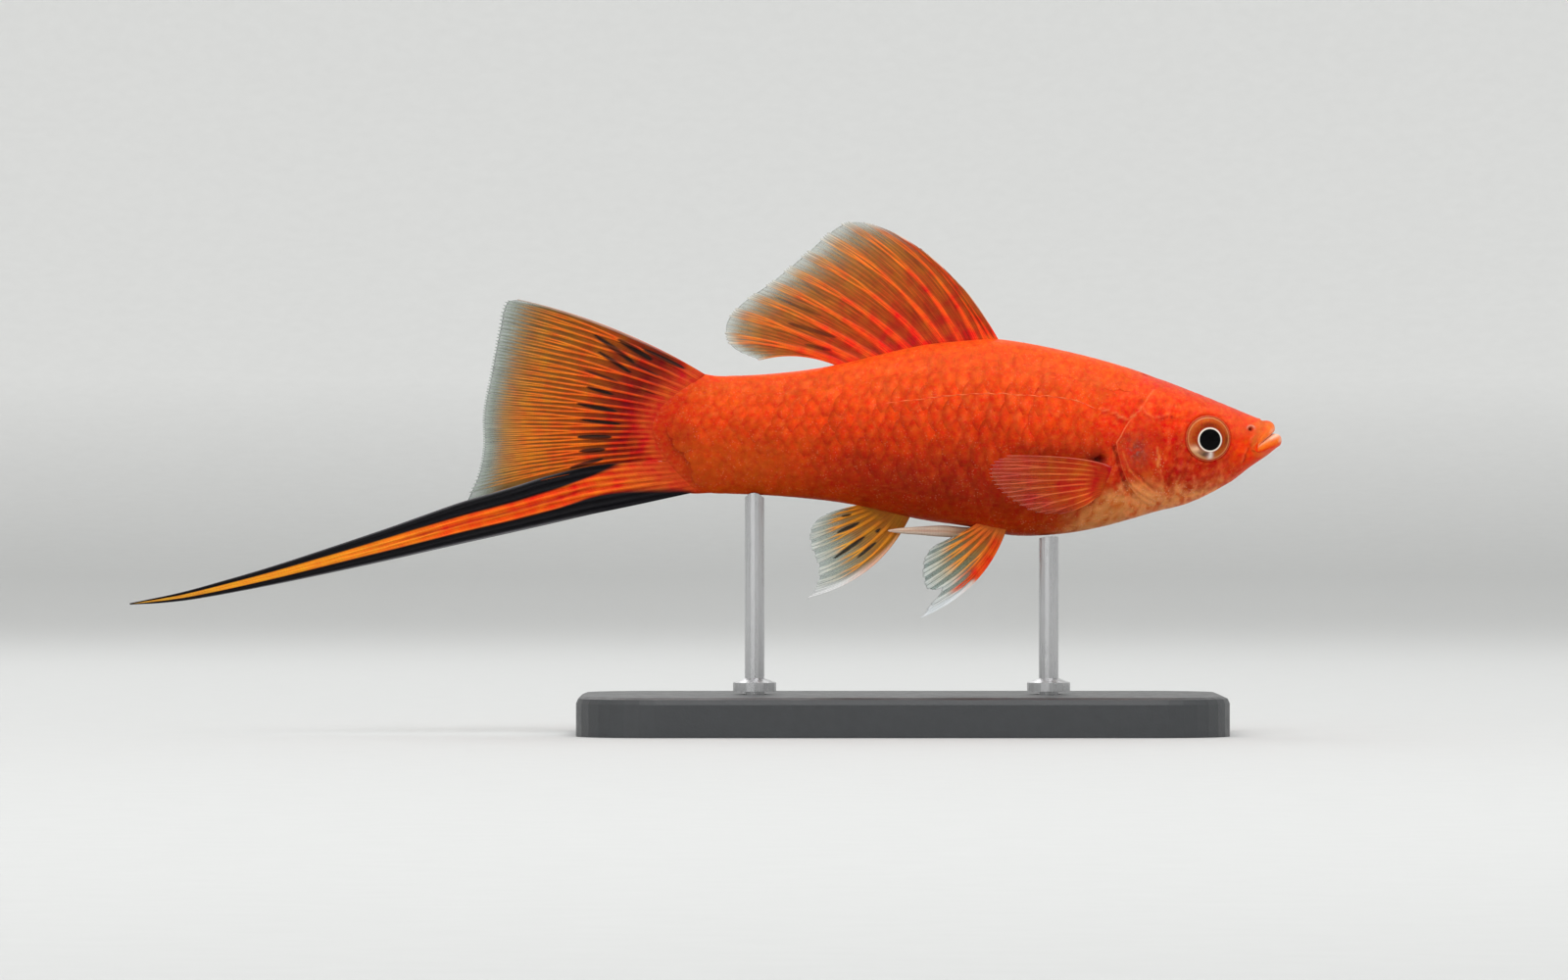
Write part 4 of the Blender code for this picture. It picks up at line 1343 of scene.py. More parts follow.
    def build(self, material: Material) -> None:
        """Builds the skin from a grid rolled round the body.

        Args:
            material: the skin's finish.
        """
        rows = self.rows()
        bm, spots, layers = grid(self.around, len(rows) - 1)
        places = {
            "inside": lambda turn, value: self.lip_point(turn, value, 0.0),
            "lip": lambda turn, value: self.lip_point(turn, 1.0, value),
            "snout": self.snout_point,
            "trunk": lambda turn, value: self.trunk.point(value, turn),
            "tail": self.tail_point}
        for vert, (column, row) in spots.items():
            part, value = rows[row]
            turn = -math.pi / 2 + 2 * math.pi * column / self.around
            vert.co = to_frame(*places[part](turn, value))
        near_lips = [vert for vert, (_, row) in spots.items() if self.lip_rows <= row < self.lip_rows + 14]
        for _ in range(2):
            bmesh.ops.smooth_vert(bm, verts=near_lips, factor=0.5, use_axis_x=True, use_axis_y=True,
                                  use_axis_z=True)
        bmesh.ops.recalc_face_normals(bm, faces=bm.faces)
        bm.normal_update()
        fades = {"snout": (-0.02, 0.05), "trunk": (-1.0, 0.0), "tail": (1.0, 0.78)}
        moves = {}
        for vert, (_, row) in spots.items():
            part, value = rows[row]
            back = TOTAL_LENGTH / 2 - vert.co.x / MM
            up = vert.co.z / MM - AXIS_HEIGHT
            vert[layers["Tone"]] = (*self.row_tone(part, value, back, up), self.livery.flecks(back, up))
            if part in fades:
                moves[vert] = vert.normal * (self.relief(back, up) * MM * rise(value, *fades[part]))
        for vert, move in moves.items():
            vert.co += move
        bmesh.ops.remove_doubles(bm, verts=bm.verts, dist=SAME_POINT)
        settle("skin", bm, material, "red_skin", "head", "lower_jaw", "torso", "tail_stem")

    def row_tone(self, part: str, value: float, back: float, up: float) -> Colour:
        """The skin's colour.

        Args:
            part: the row's part of the body.
            value: its place in that part.
            back: distance behind the lip.
            up: height.

        Returns:
            The linear colour.
        """
        livery = self.livery
        # Deep in the mouth the colour is partly the lining and partly painted shade in the gap between the
        # lips.
        if part == "inside":
            return mix(livery.mouth, livery.lip_edge_and_highlight, 0.7 * value**3)
        # The pale edge along the upper lip's front and along the lower lip's top edge and front tip is partly
        # painted highlight.
        if part == "lip" and up > 0.45 - 0.75 * (back - 1.1):
            return coats(
                livery.snout, (livery.lip, 0.45 + 0.4 * bell(value - 0.5, 0.25)),
                (livery.lip_edge_and_highlight, 0.45 * bell(value - 0.45, 0.12) * rise(back, 1.6, 0.8)),
                (livery.tone(back, up), 0.5 * rise(value, 0.7, 1.0)))
        if part == "lip":
            front = rise(back, 1.6, 0.9)
            return coats(
                livery.lower_lip, (livery.snout_side, rise(value, 0.45, 0.9)),
                (livery.lip_edge_and_highlight, (0.45 + 0.5 * front) * bell(value - 0.12, 0.17)),
                (livery.lip_edge_and_highlight, 0.6 * front * bell(value - 0.5, 0.12) * rise(back, 0.5, 0.1)))
        if part == "snout":
            return mix(livery.lip, livery.tone(back, up), 0.6 + 0.4 * rise(value, 0.0, 0.12))
        return livery.tone(back, up)


@dataclass
class Scales:
    """The coat of round-edged scales, in rows that run along the body and close up towards the tail."""

    trunk: Trunk
    livery: Livery
    pitch: float = 1.45
    rows_a_side: int = 12
    lift: float = 0.034
    thickness: float = 0.028
    cells: int = 5
    seed: int = 7
    front: Line = Line((
        (0.0, 15.5), (0.22, 17.2), (0.36, 19.4), (0.56, 19.4), (0.68, 19.6), (0.76, 17.9), (0.86, 15.4),
        (1.0, 13.4)))
    bake_length: float = 70.0
    bake_half: float = 0.0015

    def front_edge(self, share: float) -> float:
        """Where the scales begin behind the bare head, by the share of the girth."""
        return self.front.at(share if share <= 1 else 2 - share)

    def pattern(self) -> tuple[bpy.types.Mesh, list[tuple[float, float, bool]]]:
        """One flat round scale with its maps.

        Returns:
            Its mesh, and for each point its share across, its share along and whether it is on the top face.
        """
        bm = bmesh.new()
        bm.verts.layers.float_color.new("Tone")
        bm.verts.layers.float.new("Clear")
        for name in ("OFBake", "Plate"):
            bm.loops.layers.uv.new(name)
        bmesh.ops.create_grid(bm, x_segments=self.cells, y_segments=self.cells, size=1.0)
        for vert in bm.verts:
            vert.co = (*on_disc(vert.co.x, vert.co.y), 0)
        for vert in doubled(bm):
            vert.co.z = 1
        bmesh.ops.recalc_face_normals(bm, faces=bm.faces)
        for edge in bm.edges:
            edge.smooth = edge.calc_face_angle() < 1.0
        plate = bm.loops.layers.uv["Plate"]
        for vert in bm.verts:
            for loop in vert.link_loops:
                loop[plate].uv = (vert.co.x / 2 + 0.5, vert.co.y / 2 + 0.5)
        spots = [(vert.co.x, vert.co.y, vert.co.z > 0.5) for vert in bm.verts]
        mesh = bpy.data.meshes.new("scale")
        bm.to_mesh(mesh)
        bm.free()
        return mesh, spots

    def places(self, side: Side) -> list[tuple[float, float, float, float]]:
        """Where one side's scales sit.

        Args:
            side: the side of the fish.

        Returns:
            Each scale's distance behind the lip, share of the girth, size, brightness and how far it is sunk
            in the skin, at its front below 0 and at its rear above 0.
        """
        draw = random.Random(self.seed + side.value)
        found = []
        crest = self.rows_a_side + 1
        for number in range(crest) if side is Side.LEFT else range(crest, 2 * self.rows_a_side):
            share = number / self.rows_a_side
            height = self.trunk.point(61.0, self.trunk.turn_at(61.0, share)).z
            start = self.front_edge(share) + (self.pitch / 2 if number % 2 else 0.0)
            last = self.trunk.flesh_edge.at(height) - 2.6
            for k in range(int((last - start) / self.pitch) + 1):
                back = start + k * self.pitch
                size = (0.85 + 0.15 * rise(k, 0, 2)) * (1 - 0.15 * rise(back, 56, 62))
                size *= draw.uniform(0.97, 1.03)
                shown = 0.4 + 0.6 * self.livery.scale_show(back, share)
                sunk = rise(back, last - 4.0, last - 0.8) - (1.0, 0.4, 0.0)[min(k, 2)]
                back += draw.uniform(-0.06, 0.06)
                found.append((back, share, size, 1 + shown * draw.uniform(-0.10, 0.08), sunk))
        return found

    def set_plate(self, verts: list[bmesh.types.BMVert], spots: list[tuple[float, float, bool]],
                  place: tuple[float, ...], layers: tuple) -> None:
        """Lays one scale on the body.

        Args:
            verts: the scale's points.
            spots: where they are in the pattern.
            place: its distance behind the lip, share of the girth, size, brightness and how far it is sunk.
            layers: the tone, the clearness and the bake map.
        """
        back, share, size, bright, sunk = place
        tones, clear, bake = layers
        shown = self.livery.scale_show(back, share)
        half_share, half_length = 1.02 * size / self.rows_a_side, self.pitch * 0.98 * size
        proud = self.lift * (0.35 + 0.65 * shown)
        root = (share / 2, back / self.bake_length)
        known = {}
        for vert, (across, along, top) in zip(verts, spots):
            height = proud * (0.5 + 0.5 * along) + 0.010 * (1 - across**2) - 0.04
            height -= 0.055 * max(0.0, sunk * along)
            here = back + along * half_length
            point = self.trunk.raised(here, self.trunk.turn_at(here, share + across * half_share),
                                      height - (0 if top else self.thickness))
            vert.co = to_frame(*point)
            if (across, along) not in known:
                tone = self.livery.tone(point.x, point.z, lines=False)
                lit = [value * bright for value in tone]
                known[across, along] = (*lit, self.livery.flecks(point.x, point.z))
            vert[tones] = known[across, along]
            vert[clear] = shown
            for loop in vert.link_loops:
                loop[bake].uv = (root[0] + self.bake_half * across, root[1] + self.bake_half * along)

    def build(self, material: Material) -> None:
        """Builds the coat as one piece for each side.

        Args:
            material: the scales' finish.
        """
        pattern, spots = self.pattern()
        for side in Side:
            places = self.places(side)
            bm = bmesh.new()
            for _ in places:
                bm.from_mesh(pattern)
            bm.verts.ensure_lookup_table()
            verts = bm.verts[:]
            layers = (bm.verts.layers.float_color["Tone"], bm.verts.layers.float["Clear"],
                      bm.loops.layers.uv["OFBake"])
            for k, place in enumerate(places):
                self.set_plate(verts[k * len(spots):(k + 1) * len(spots)], spots, place, layers)
            settle(f"scales_{side.word}", bm, material, "red_skin")


@dataclass
class LateralLine:
    """The fine raised canal along one flank, a little stepped from scale to scale."""

    trunk: Trunk
    livery: Livery
    side: Side
    steps: int = 460
    cells: int = 6
    half_width: float = 0.075
    proud: float = 0.03
    pitch: float = 1.45

    def build(self, material: Material) -> None:
        """Builds the canal as a thin closed strip that sinks into the coat at both ends.

        Args:
            material: the skin's finish.
        """
        bm, _, layers = grid(self.cells, self.steps)
        number, tones = layers["number"], layers["Tone"]
        first, last = self.livery.lateral.points[0][0], self.livery.lateral.points[-1][0]
        lower = doubled(bm)
        for vert in bm.verts:
            row, column = divmod(vert[number], self.cells + 1)
            along, across = row / self.steps, column / self.cells * 2 - 1
            back = first + (last - first) * along
            step = (back / self.pitch) % 1.0
            ends = rise(along, 0.0, 0.015) * rise(along, 1.0, 0.5)
            uneven = noise.noise(Vector((back * 0.9, 0, 4.0)))
            up = self.livery.lateral.at(back) + 0.1 * (step - 0.5) + 0.12 * uneven
            up += across * self.half_width * (0.7 + 0.3 * ends)
            tube = self.proud * ends * (0.45 + 0.55 * bell(step - 0.5, 0.3))
            lift = tube * (1 - across**2) - 0.012 - 0.04 * (1 - ends) - (0.06 if vert in lower else 0.0)
            point = self.trunk.raised(back, self.trunk.turn_for(back, up), lift)
            vert.co = to_frame(point.x, self.side.value * point.y, point.z)
            pale = ends * (0.15 + 0.4 * bell(step - 0.5, 0.25)) * rise(abs(across), 1.0, 0.4)
            vert[tones] = (*mix(self.livery.tone(back, up), self.livery.pale_line, pale), 0.2)
        settle(f"lateral_line_{self.side.word}", bm, material, "red_skin")


@dataclass
class GillCover:
    """A gill cover: a curved flap that leaves the cheek smoothly and stands proud at its rear edge."""

    trunk: Trunk
    livery: Livery
    side: Side
    centre: tuple[float, float] = (14.2, -1.5)
    outline: tuple[tuple[float, float], ...] = (
        (12.4, 3.3), (13.5, 3.9), (14.5, 3.4), (15.2, 2.3), (15.9, 1.3), (16.6, 0.05), (17.02, -0.65),
        (16.95, -1.1), (16.7, -2.3), (16.3, -3.6), (15.75, -4.8), (15.0, -5.9), (14.0, -6.75), (12.9, -7.2),
        (12.0, -6.6), (11.3, -5.6), (10.9, -4.2), (10.9, -2.4), (11.0, -0.2), (11.4, 1.7))
    cells: int = 72
    proud: float = 0.24
    sunk: float = 0.16
    thickness: float = 0.3

    @cached_property
    def reach(self) -> Line:
        """The outline as its distance from the centre by the direction.

        Returns:
            The line, which overlaps itself where the turn closes.
        """
        offsets = [(back - self.centre[0], up - self.centre[1]) for back, up in self.outline]
        turns = sorted((math.atan2(y, x), math.hypot(x, y)) for x, y in offsets)
        before = [(angle - 2 * math.pi, reach) for angle, reach in turns[-2:]]
        after = [(angle + 2 * math.pi, reach) for angle, reach in turns[:2]]
        return Line((*before, *turns, *after))

    def build(self, material: Material) -> None:
        """Builds the flap.

        Args:
            material: the skin's finish.
        """
        bm, spots, layers = grid(self.cells, self.cells)
        tones = layers["Tone"]
        lifts = {}
        for vert, (column, row) in spots.items():
            x, y = on_disc(column / self.cells * 2 - 1, row / self.cells * 2 - 1)
            angle, ring = math.atan2(y, x), min(1.0, math.hypot(x, y))
            reach = self.reach.at(angle) * ring
            back, up = self.centre[0] + reach * math.cos(angle), self.centre[1] + reach * math.sin(angle)
            vert.co = to_frame(back, self.side.value * self.trunk.flank_out(back, up), up)
            rear = rise(math.cos(angle) - 0.35 * math.sin(angle), -0.35, 0.55)
            joined = rise(ring, 0.45, 0.95) * (1 - rear)
            tone = mix(self.livery.gill_tone(back, up), self.livery.tone(back, up), joined)
            rim = 0.5 * rear * bell(ring - 0.975, 0.02) * (0.35 + 0.65 * rise(up, -1.5, -0.6))
            vert[tones] = (*mix(tone, self.livery.pale_line, rim), self.livery.flecks(back, up))
            edge = (self.proud * rear - self.sunk * (1 - rear)) * ring**3
            lift = edge + 0.10 * (1 - ring**2) - 0.10 * rise(ring, 0.93, 1.0)
            bent_back, bent_up = wander(back, up)
            for line in self.livery.gill_lines:
                lift += line.height * line.nearness(bent_back, bent_up)
            lifts[vert] = lift + 0.025 * patches(back, up, 2.2, 3.3) * (1 - ring**2)
        bmesh.ops.recalc_face_normals(bm, faces=bm.faces)
        bm.normal_update()
        outward = sum(vert.normal.y for vert in bm.verts) * self.side.value
        moves = {vert: vert.normal.copy() * math.copysign(MM, outward) for vert in bm.verts}
        outer = {tuple(vert.co): vert for vert in moves}
        for vert in doubled(bm):
            twin = outer[tuple(vert.co)]
            vert.co += moves[twin] * (lifts[twin] - self.thickness)
        for vert, move in moves.items():
            vert.co += move * lifts[vert]
        settle(f"gill_flap_{self.side.word}", bm, material, "red_skin", f"gill_cover_{self.side.word}")


@dataclass
class EyePiece:
    """A glossy eye: a black pupil in a cream ring, a copper iris with a silver patch and painted reflections
    on it, and a golden rim that is painted reflection.
    """

    eye: Eye
    side: Side
    steps: int = 96
    rings: int = 46
    dome: float = 0.6
    cup: tuple[tuple[float, float], ...] = ((1.0, -0.25), (0.96, -0.7), (0.0, -1.1))
    flushes: tuple[tuple[float, float, float, float, float, Colour], ...] = (
        (1.57, 0.55, 1.5, 0.2, 0.7, paint(112, 34, 18)), (3.2, 0.36, 1.86, 0.26, 0.8, paint(100, 40, 10)),
        (1.35, 0.7, 1.9, 0.16, 0.6, paint(222, 92, 30)), (4.2, 0.4, 1.6, 0.3, 0.6, paint(176, 104, 26)))
    # The silver patch low on the iris towards the tail, and the painted reflections on it, pale and dark.
    gleams: tuple[tuple[float, float, float, float, float, Colour], ...] = (
        (5.2, 0.45, 1.26, 2.05, 0.85, paint(156, 122, 92)), (5.66, 0.2, 1.45, 2.1, 0.9, paint(250, 196, 158)),
        (5.3, 0.3, 1.85, 2.12, 0.7, paint(222, 166, 116)), (5.04, 0.17, 1.36, 1.8, 0.8, paint(84, 66, 54)),
        (4.64, 0.15, 1.26, 2.12, 0.95, paint(240, 228, 220)), (4.9, 0.1, 1.3, 1.6, 0.6, paint(96, 90, 96)))

    def tone(self, reach: float, angle: float) -> Colour:
        """The colour by the distance from the middle and the angle from straight back.

        Args:
            reach: distance from the pupil's middle.
            angle: 0 towards the tail, a quarter turn upwards.

        Returns:
            The linear colour.
        """
        eye = self.eye
        iris = coats(paint(150, 46, 12), (paint(168, 62, 14), rise(reach, eye.ring, 1.6)),
                     (paint(188, 84, 32), rise(reach, 1.6, 1.95)))
        for middle, wide, ring, half, strength, colour in self.flushes:
            iris = mix(iris, colour, strength * self.facing(angle, middle, wide) * bell(reach - ring, half))
        for middle, wide, first, last, strength, colour in self.gleams:
            patch = self.facing(angle, middle, wide) * rise(reach, first - 0.1, first + 0.1)
            iris = mix(iris, colour, strength * (patch * rise(reach, last + 0.1, last)))
        # The pale golden ring near the eye's edge, brighter at the top and at the bottom, is a painted
        # reflection of the cornea's edge.
        top = 0.45 + 0.3 * self.facing(angle, 1.5, 1.0)
        return coats(
            iris, (paint(236, 160, 104), top * bell(reach - 2.1, 0.05)),
            (paint(206, 150, 96), 0.7 * self.facing(angle, 4.6, 1.2) * bell(reach - 2.06, 0.07)),
            (paint(150, 52, 26), 0.7 * bell(reach - 2.2, 0.05)),
            (paint(214, 84, 54), rise(reach, 2.22, 2.3)),
            (paint(250, 238, 224), rise(reach, eye.ring + 0.03, eye.ring - 0.07)),
            (paint(2, 2, 3), rise(reach, eye.pupil + 0.04, eye.pupil - 0.03)))

    @staticmethod
    def facing(angle: float, middle: float, wide: float) -> float:
        """How near an angle is to a middle one: 1 on it, falling to 0 over a width."""
        return bell(math.atan2(math.sin(angle - middle), math.cos(angle - middle)), wide)

    def height(self, reach: float) -> float:
        """The height of the eye's surface over its rim's plane.

        Args:
            reach: distance from the middle.

        Returns:
            The height.
        """
        share = reach / self.eye.radius
        bulge = self.dome * math.cos(share * math.pi / 2) ** 0.8 if share < 1 else 0.0
        return bulge + 0.05 * bell(reach, self.eye.pupil * 0.9)

    def build(self, material: Material) -> None:
        """Builds the eye by spinning its profile.

        Args:
            material: the eye's finish.
        """
        eye, sign = self.eye, self.side.value
        reaches = [eye.radius * k / self.rings for k in range(self.rings + 1)]
        profile = [(reach, self.height(reach)) for reach in reaches]
        bm = spun(profile + [(eye.radius * share, height) for share, height in self.cup], self.steps, 0.0005)
        tones = bm.verts.layers.float_color.new("Tone")
        facing = Vector((-math.sin(eye.toe_in), sign * math.cos(eye.toe_in), 0))
        rising = Vector((0, 0, 1))
        rearward = Vector((facing.y * sign, -facing.x * sign, 0))
        centre = Vector((eye.back, sign * eye.out, eye.up))
        for vert in bm.verts:
            x, y, h = vert.co
            vert[tones] = (*self.tone(math.hypot(x, y), math.atan2(y, x) % (2 * math.pi)), 0.0)
            inner = rise(math.hypot(x, y), eye.radius * 0.95, eye.ring)
            x, y = x + eye.shift[0] * inner, y + eye.shift[1] * inner
            vert.co = to_frame(*(centre + rearward * x + rising * y + facing * h))
        settle(f"eyeball_{self.side.word}", bm, material, "eye_gold", f"eye_{self.side.word}")


@dataclass(frozen=True)
class FinPaint:
    """A fin's colours and opacities from root to tip, for its rays and its web."""

    ray: Ramp
    web: Ramp
    ray_opacity: Line
    web_opacity: Line
    streak: Colour = paint(22, 16, 10)


@dataclass
class Fin:
    """A thin fin whose rays stand out of both faces and fork towards its edge."""

    name: str
    node: str
    sheet: Sheet
    rays: int
    rows: int
    paint: FinPaint
    length: float
    per_ray: int = 14
    forks: tuple[float, float] = (0.3, 0.55)
    spread: tuple[float, float] = (0.25, 0.12)
    web_half: float = 0.06
    ray_half: tuple[float, float] = (0.22, 0.09)
    ray_width: tuple[float, float] = (0.26, 0.1)
    root_half: Callable[[float], float] = lambda across: 0.4
    fringe: float = 0.02
    power: float = 1.0
    rays_from: float = -1.0
    rear_wide: float = 0.0
    fine: float = 0.0
    slot: str = "orange_fin"
    marks: Callable[[float, float, float], Mark] = lambda across, along, crest: (0.0, (0, 0, 0))
    streaks: tuple[Streak, ...] = ()

    def crest(self, across: float, along: float, pitch: float) -> float:
        """How much a place is on a ray: 1 on its crest, 0 on the web.

        Args:
            across: share across the fin.
            along: share along the rays.
            pitch: the distance between rays there, in millimetres.

        Returns:
            The share.
        """
        number = round(across * (self.rays - 1))
        beside = across * (self.rays - 1) - number
        edge_ray = number in (0, self.rays - 1)
        shift = 0.05 * math.sin(number * 2.7)
        first, second = (
            0.0 if edge_ray else wide * rise(along, fork, fork + 0.3)
            for wide, fork in zip(self.spread, (self.forks[0] + shift, self.forks[1] - shift)))
        width = self.ray_width[0] + (self.ray_width[1] - self.ray_width[0]) * rise(along, -0.1, 0.85)
        width *= 1 + self.rear_wide * rise(across, 0.25, 0.75) * rise(along, 0.7, 0.3)
        width = max(width, 1.3 * pitch / self.per_ray) * (1.4 if edge_ray else 1.0)
        nearest = min(abs(beside - a * first - b * second) for a in (-1, 1) for b in (-1, 1)) * pitch
        return rise(nearest, width, width * 0.35) * rise(along, self.rays_from, self.rays_from + 0.14)

    def colour(self, across: float, along: float, crest: float, point: Vector) -> tuple[float, ...]:
        """The colour and opacity at a place.

        Args:
            across: share across the fin.
            along: share along the rays.
            crest: how much the place is on a ray.
            point: the place as (back, out, up).

        Returns:
            Red, green, blue and opacity.
        """
        style = self.paint
        thread = self.fine * bell((across * (self.rays - 1) * 5) % 1 - 0.5, 0.2) * rise(along, 0.15, 0.45)
        crest = max(crest, thread)
        tone = mix(style.web.at(along), style.ray.at(along), crest)
        opacity = style.web_opacity.at(along) * (1 - crest) + style.ray_opacity.at(along) * crest
        dark = max((streak.share(point.x, point.z) for streak in self.streaks), default=0.0)
        dark *= 1 - 0.08 * crest
        tone, opacity = mix(tone, style.streak, dark), max(opacity, 0.95 * dark)
        share, mark = self.marks(across, along, crest)
        return (*mix(tone, mark, share), max(opacity, share * 0.97))

    def build(self, material: Material) -> None:
        """Builds the fin as a closed thin form.

        Args:
            material: its finish.
        """
        columns = (self.rays - 1) * self.per_ray
        bm, spots, layers = grid(columns, self.rows, "Rays")
        number, spread = layers["number"], layers["Rays"]
        shares = {spot: (spot[0] / columns, (spot[1] / self.rows) ** self.power) for spot in spots.values()}
        points = {spot: self.sheet(*share) for spot, share in shares.items()}
        halves = {}
        for vert, (column, row) in spots.items():
            across, along = shares[column, row]
            low, high = max(0, column - 1), min(columns, column + 1)
            pitch = (points[high, row] - points[low, row]).length / (high - low) * self.per_ray
            crest = self.crest(across, along, pitch)
            point = points[column, row]
            if row == self.rows:
                point = point + (points[column, row - 1] - point) * (1 - crest) * self.fringe * self.rows
            ray = self.ray_half[0] + (self.ray_half[1] - self.ray_half[0]) * along
            half = self.web_half + (ray - self.web_half) * crest
            half += max(0.0, self.root_half(across) - half) * math.exp(-((along * 9) ** 2))
            if row == self.rows:
                half *= 0.4
            vert.co = to_frame(*point)
            vert[layers["Tone"]] = self.colour(across, along, crest, point)
            halves[column, row] = half
        bm.normal_update()
        normals = {vert[number]: vert.normal.copy() for vert in bm.verts}
        far_side = doubled(bm)
        for vert in bm.verts:
            row, column = divmod(vert[number], columns + 1)
            offset = halves[column, row] * MM * (1 if vert in far_side else -1)
            vert.co += normals[vert[number]] * offset
            across, along = shares[column, row]
            for loop in vert.link_loops:
                loop[spread].uv = (across * self.rays / MAP_UNIT, along * self.length / MAP_UNIT)
        settle(self.name, bm, material, self.slot, self.node)


def bent(root: Callable[[float], tuple], tip: Line, bow: Line, side: int = 0) -> Sheet:
    """A fin's middle sheet of bent rays.

    Args:
        root: where a ray starts, by its share across the fin.
        tip: where it ends, as (back, up) in the middle plane or (back, out, up) beside it.
        bow: how far its middle is pushed aside, in the same form.
        side: the sign of out for a paired fin.

    Returns:
        The sheet, by shares across and along.
    """
    def spread(line: Line, across: float) -> Vector:
        """A line's values as (back, out, up)."""
        back, *outs, up = line.values(across)
        return Vector((back, side * outs[0] if outs else 0, up))

    def sheet(across: float, along: float) -> Vector:
        """A place of the sheet.

        Args:
            across: share across the fin.
            along: share along the rays.

        Returns:
            The place as (back, out, up).
        """
        start, end = Vector(root(across)), spread(tip, across)
        bend = (start + end) / 2 + 2 * spread(bow, across)
        return start * (1 - along) ** 2 + bend * 2 * along * (1 - along) + end * along**2

    return sheet


@dataclass
class Fins:
    """All the fins, each set a little into the skin that it grows from."""

    trunk: Trunk
    sunk: float = 0.55
    fan_top: float = 6.35
    fan_low: float = -2.45
    stem_low: float = -5.55

    def flesh_root(self, up: float) -> tuple[float, float, float]:
        """A place just inside the flesh of the tail, where the tail fin's rays grow."""
        return self.trunk.flesh_edge.at(up) - self.sunk, 0.0, up

    def flesh_half(self, up: float) -> float:
        """Half the tail fin's thickness where it leaves the flesh."""
        return max(0.24, self.trunk.flank_out(self.trunk.flesh_edge.at(up), up) * 0.78)

    def dorsal(self) -> Fin:
        """The tall dorsal fin.

        Returns:
            Its plan.
        """
        root = Line(((0, 28.6), (0.25, 31.0), (0.85, 43.2), (1, 44.8)))
        tip = Line((
            (0, 32.1, 14.8), (0.08, 35.3, 18.0), (0.16, 38.7, 20.4), (0.25, 42.2, 21.8), (0.35, 45.0, 21.7),
            (0.5, 48.7, 18.7), (0.65, 51.9, 16.0), (0.8, 55.3, 13.5), (0.88, 56.8, 11.4), (0.94, 56.2, 9.2),
            (1, 53.3, 7.75)))
        bow = Line((
            (0, -0.1, 0.1), (0.08, -0.15, 0.2), (0.16, -0.55, 0.6), (0.25, -1.0, 1.1), (0.5, -0.5, 0.7),
            (0.85, -0.1, 0.45), (1, 0, 0.8)))

        def root_at(across: float) -> tuple[float, float, float]:
            """A ray's start in the back."""
            back = root.at(across)
            return back, 0.0, self.trunk.back_line.at(back) - self.sunk

        def front(across: float, along: float, crest: float) -> Mark:
            """The short leading rays, coloured out to their white tips, with a fine pale edge.

            Args:
                across: share across the fin.
                along: share along the rays.
                crest: how much the place is on a ray.

            Returns:
                How much of the mark shows, and its colour.
            """
            near = mix(style.web.at(0.5 * along), style.ray.at(0.5 * along), crest)
            tips = rise(along, 0.9, 0.98) * rise(crest, 0.1, 0.5)
            edge = 0.8 * rise(across, 0.014, 0.004) * rise(along, 0.2, 0.5)
            share = max(edge, 0.97 * rise(across, 0.3, 0.16) * rise(along, 0.4, 0.7))
            return share, mix(near, paint(250, 226, 206), max(tips, edge))

        style = FinPaint(
            ray=Ramp(((0, 236, 56, 18), (0.3, 242, 72, 20), (0.55, 242, 98, 30), (0.78, 240, 122, 42),
                      (0.9, 216, 142, 78), (0.96, 206, 190, 166), (1, 230, 230, 222))),
            web=Ramp(((0, 180, 44, 12), (0.25, 168, 56, 12), (0.5, 162, 76, 18), (0.74, 150, 92, 28),
                      (0.88, 136, 118, 70), (0.95, 150, 160, 144), (1, 176, 186, 180))),
            ray_opacity=Line(((0, 1.0), (0.7, 0.97), (0.9, 0.8), (1, 0.6))),
            web_opacity=Line(((0, 0.97), (0.4, 0.93), (0.7, 0.84), (0.85, 0.6), (0.93, 0.36), (1, 0.2))))
        streaks = (
            Streak((51.6, 14.2), (46.9, 12.3), 0.22, 0.5), Streak((50.4, 11.6), (45.4, 10.1), 0.26, 0.6),
            Streak((48.6, 9.4), (45.9, 8.8), 0.22, 0.6), Streak((38.45, 18.95), (36.35, 16.85), 0.15, 0.4),
            Streak((49.0, 16.0), (46.2, 13.9), 0.16, 0.3))
        return Fin("dorsal_rays", "dorsal_fin", bent(root_at, tip, bow), 13, 72, style, 15.0, per_ray=22,
                   ray_width=(0.5, 0.13), marks=front, streaks=streaks, forks=(0.4, 0.6),
                   spread=(0.1, 0.06), rear_wide=0.6, fine=0.45)

    def caudal(self) -> Fin:
        """The fan of the tail fin.

        Returns:
            Its plan.
        """
        tip = Line((
            (0, 78.0, 14.05), (0.05, 79.3, 13.7), (0.16, 80.0, 10.8), (0.35, 80.8, 6.4), (0.55, 81.5, 2.4),
            (0.75, 81.5, -1.1), (0.9, 82.1, -3.9), (1, 83.4, -6.75)))
        bow = Line(((0, -0.35, 0.8), (0.5, 0, 0.1), (0.85, 0, 0.2), (1, -0.3, 0.75)))

        def up_at(across: float) -> float:
            """A ray's height at the flesh's edge."""
            return self.fan_top + (self.fan_low - self.fan_top) * across

        def upper_edge(across: float, along: float, crest: float) -> Mark:
            """The pale line along the fan's upper edge."""
            return 0.6 * rise(across, 0.02, 0.005) * rise(along, 0.1, 0.4), paint(236, 206, 190)

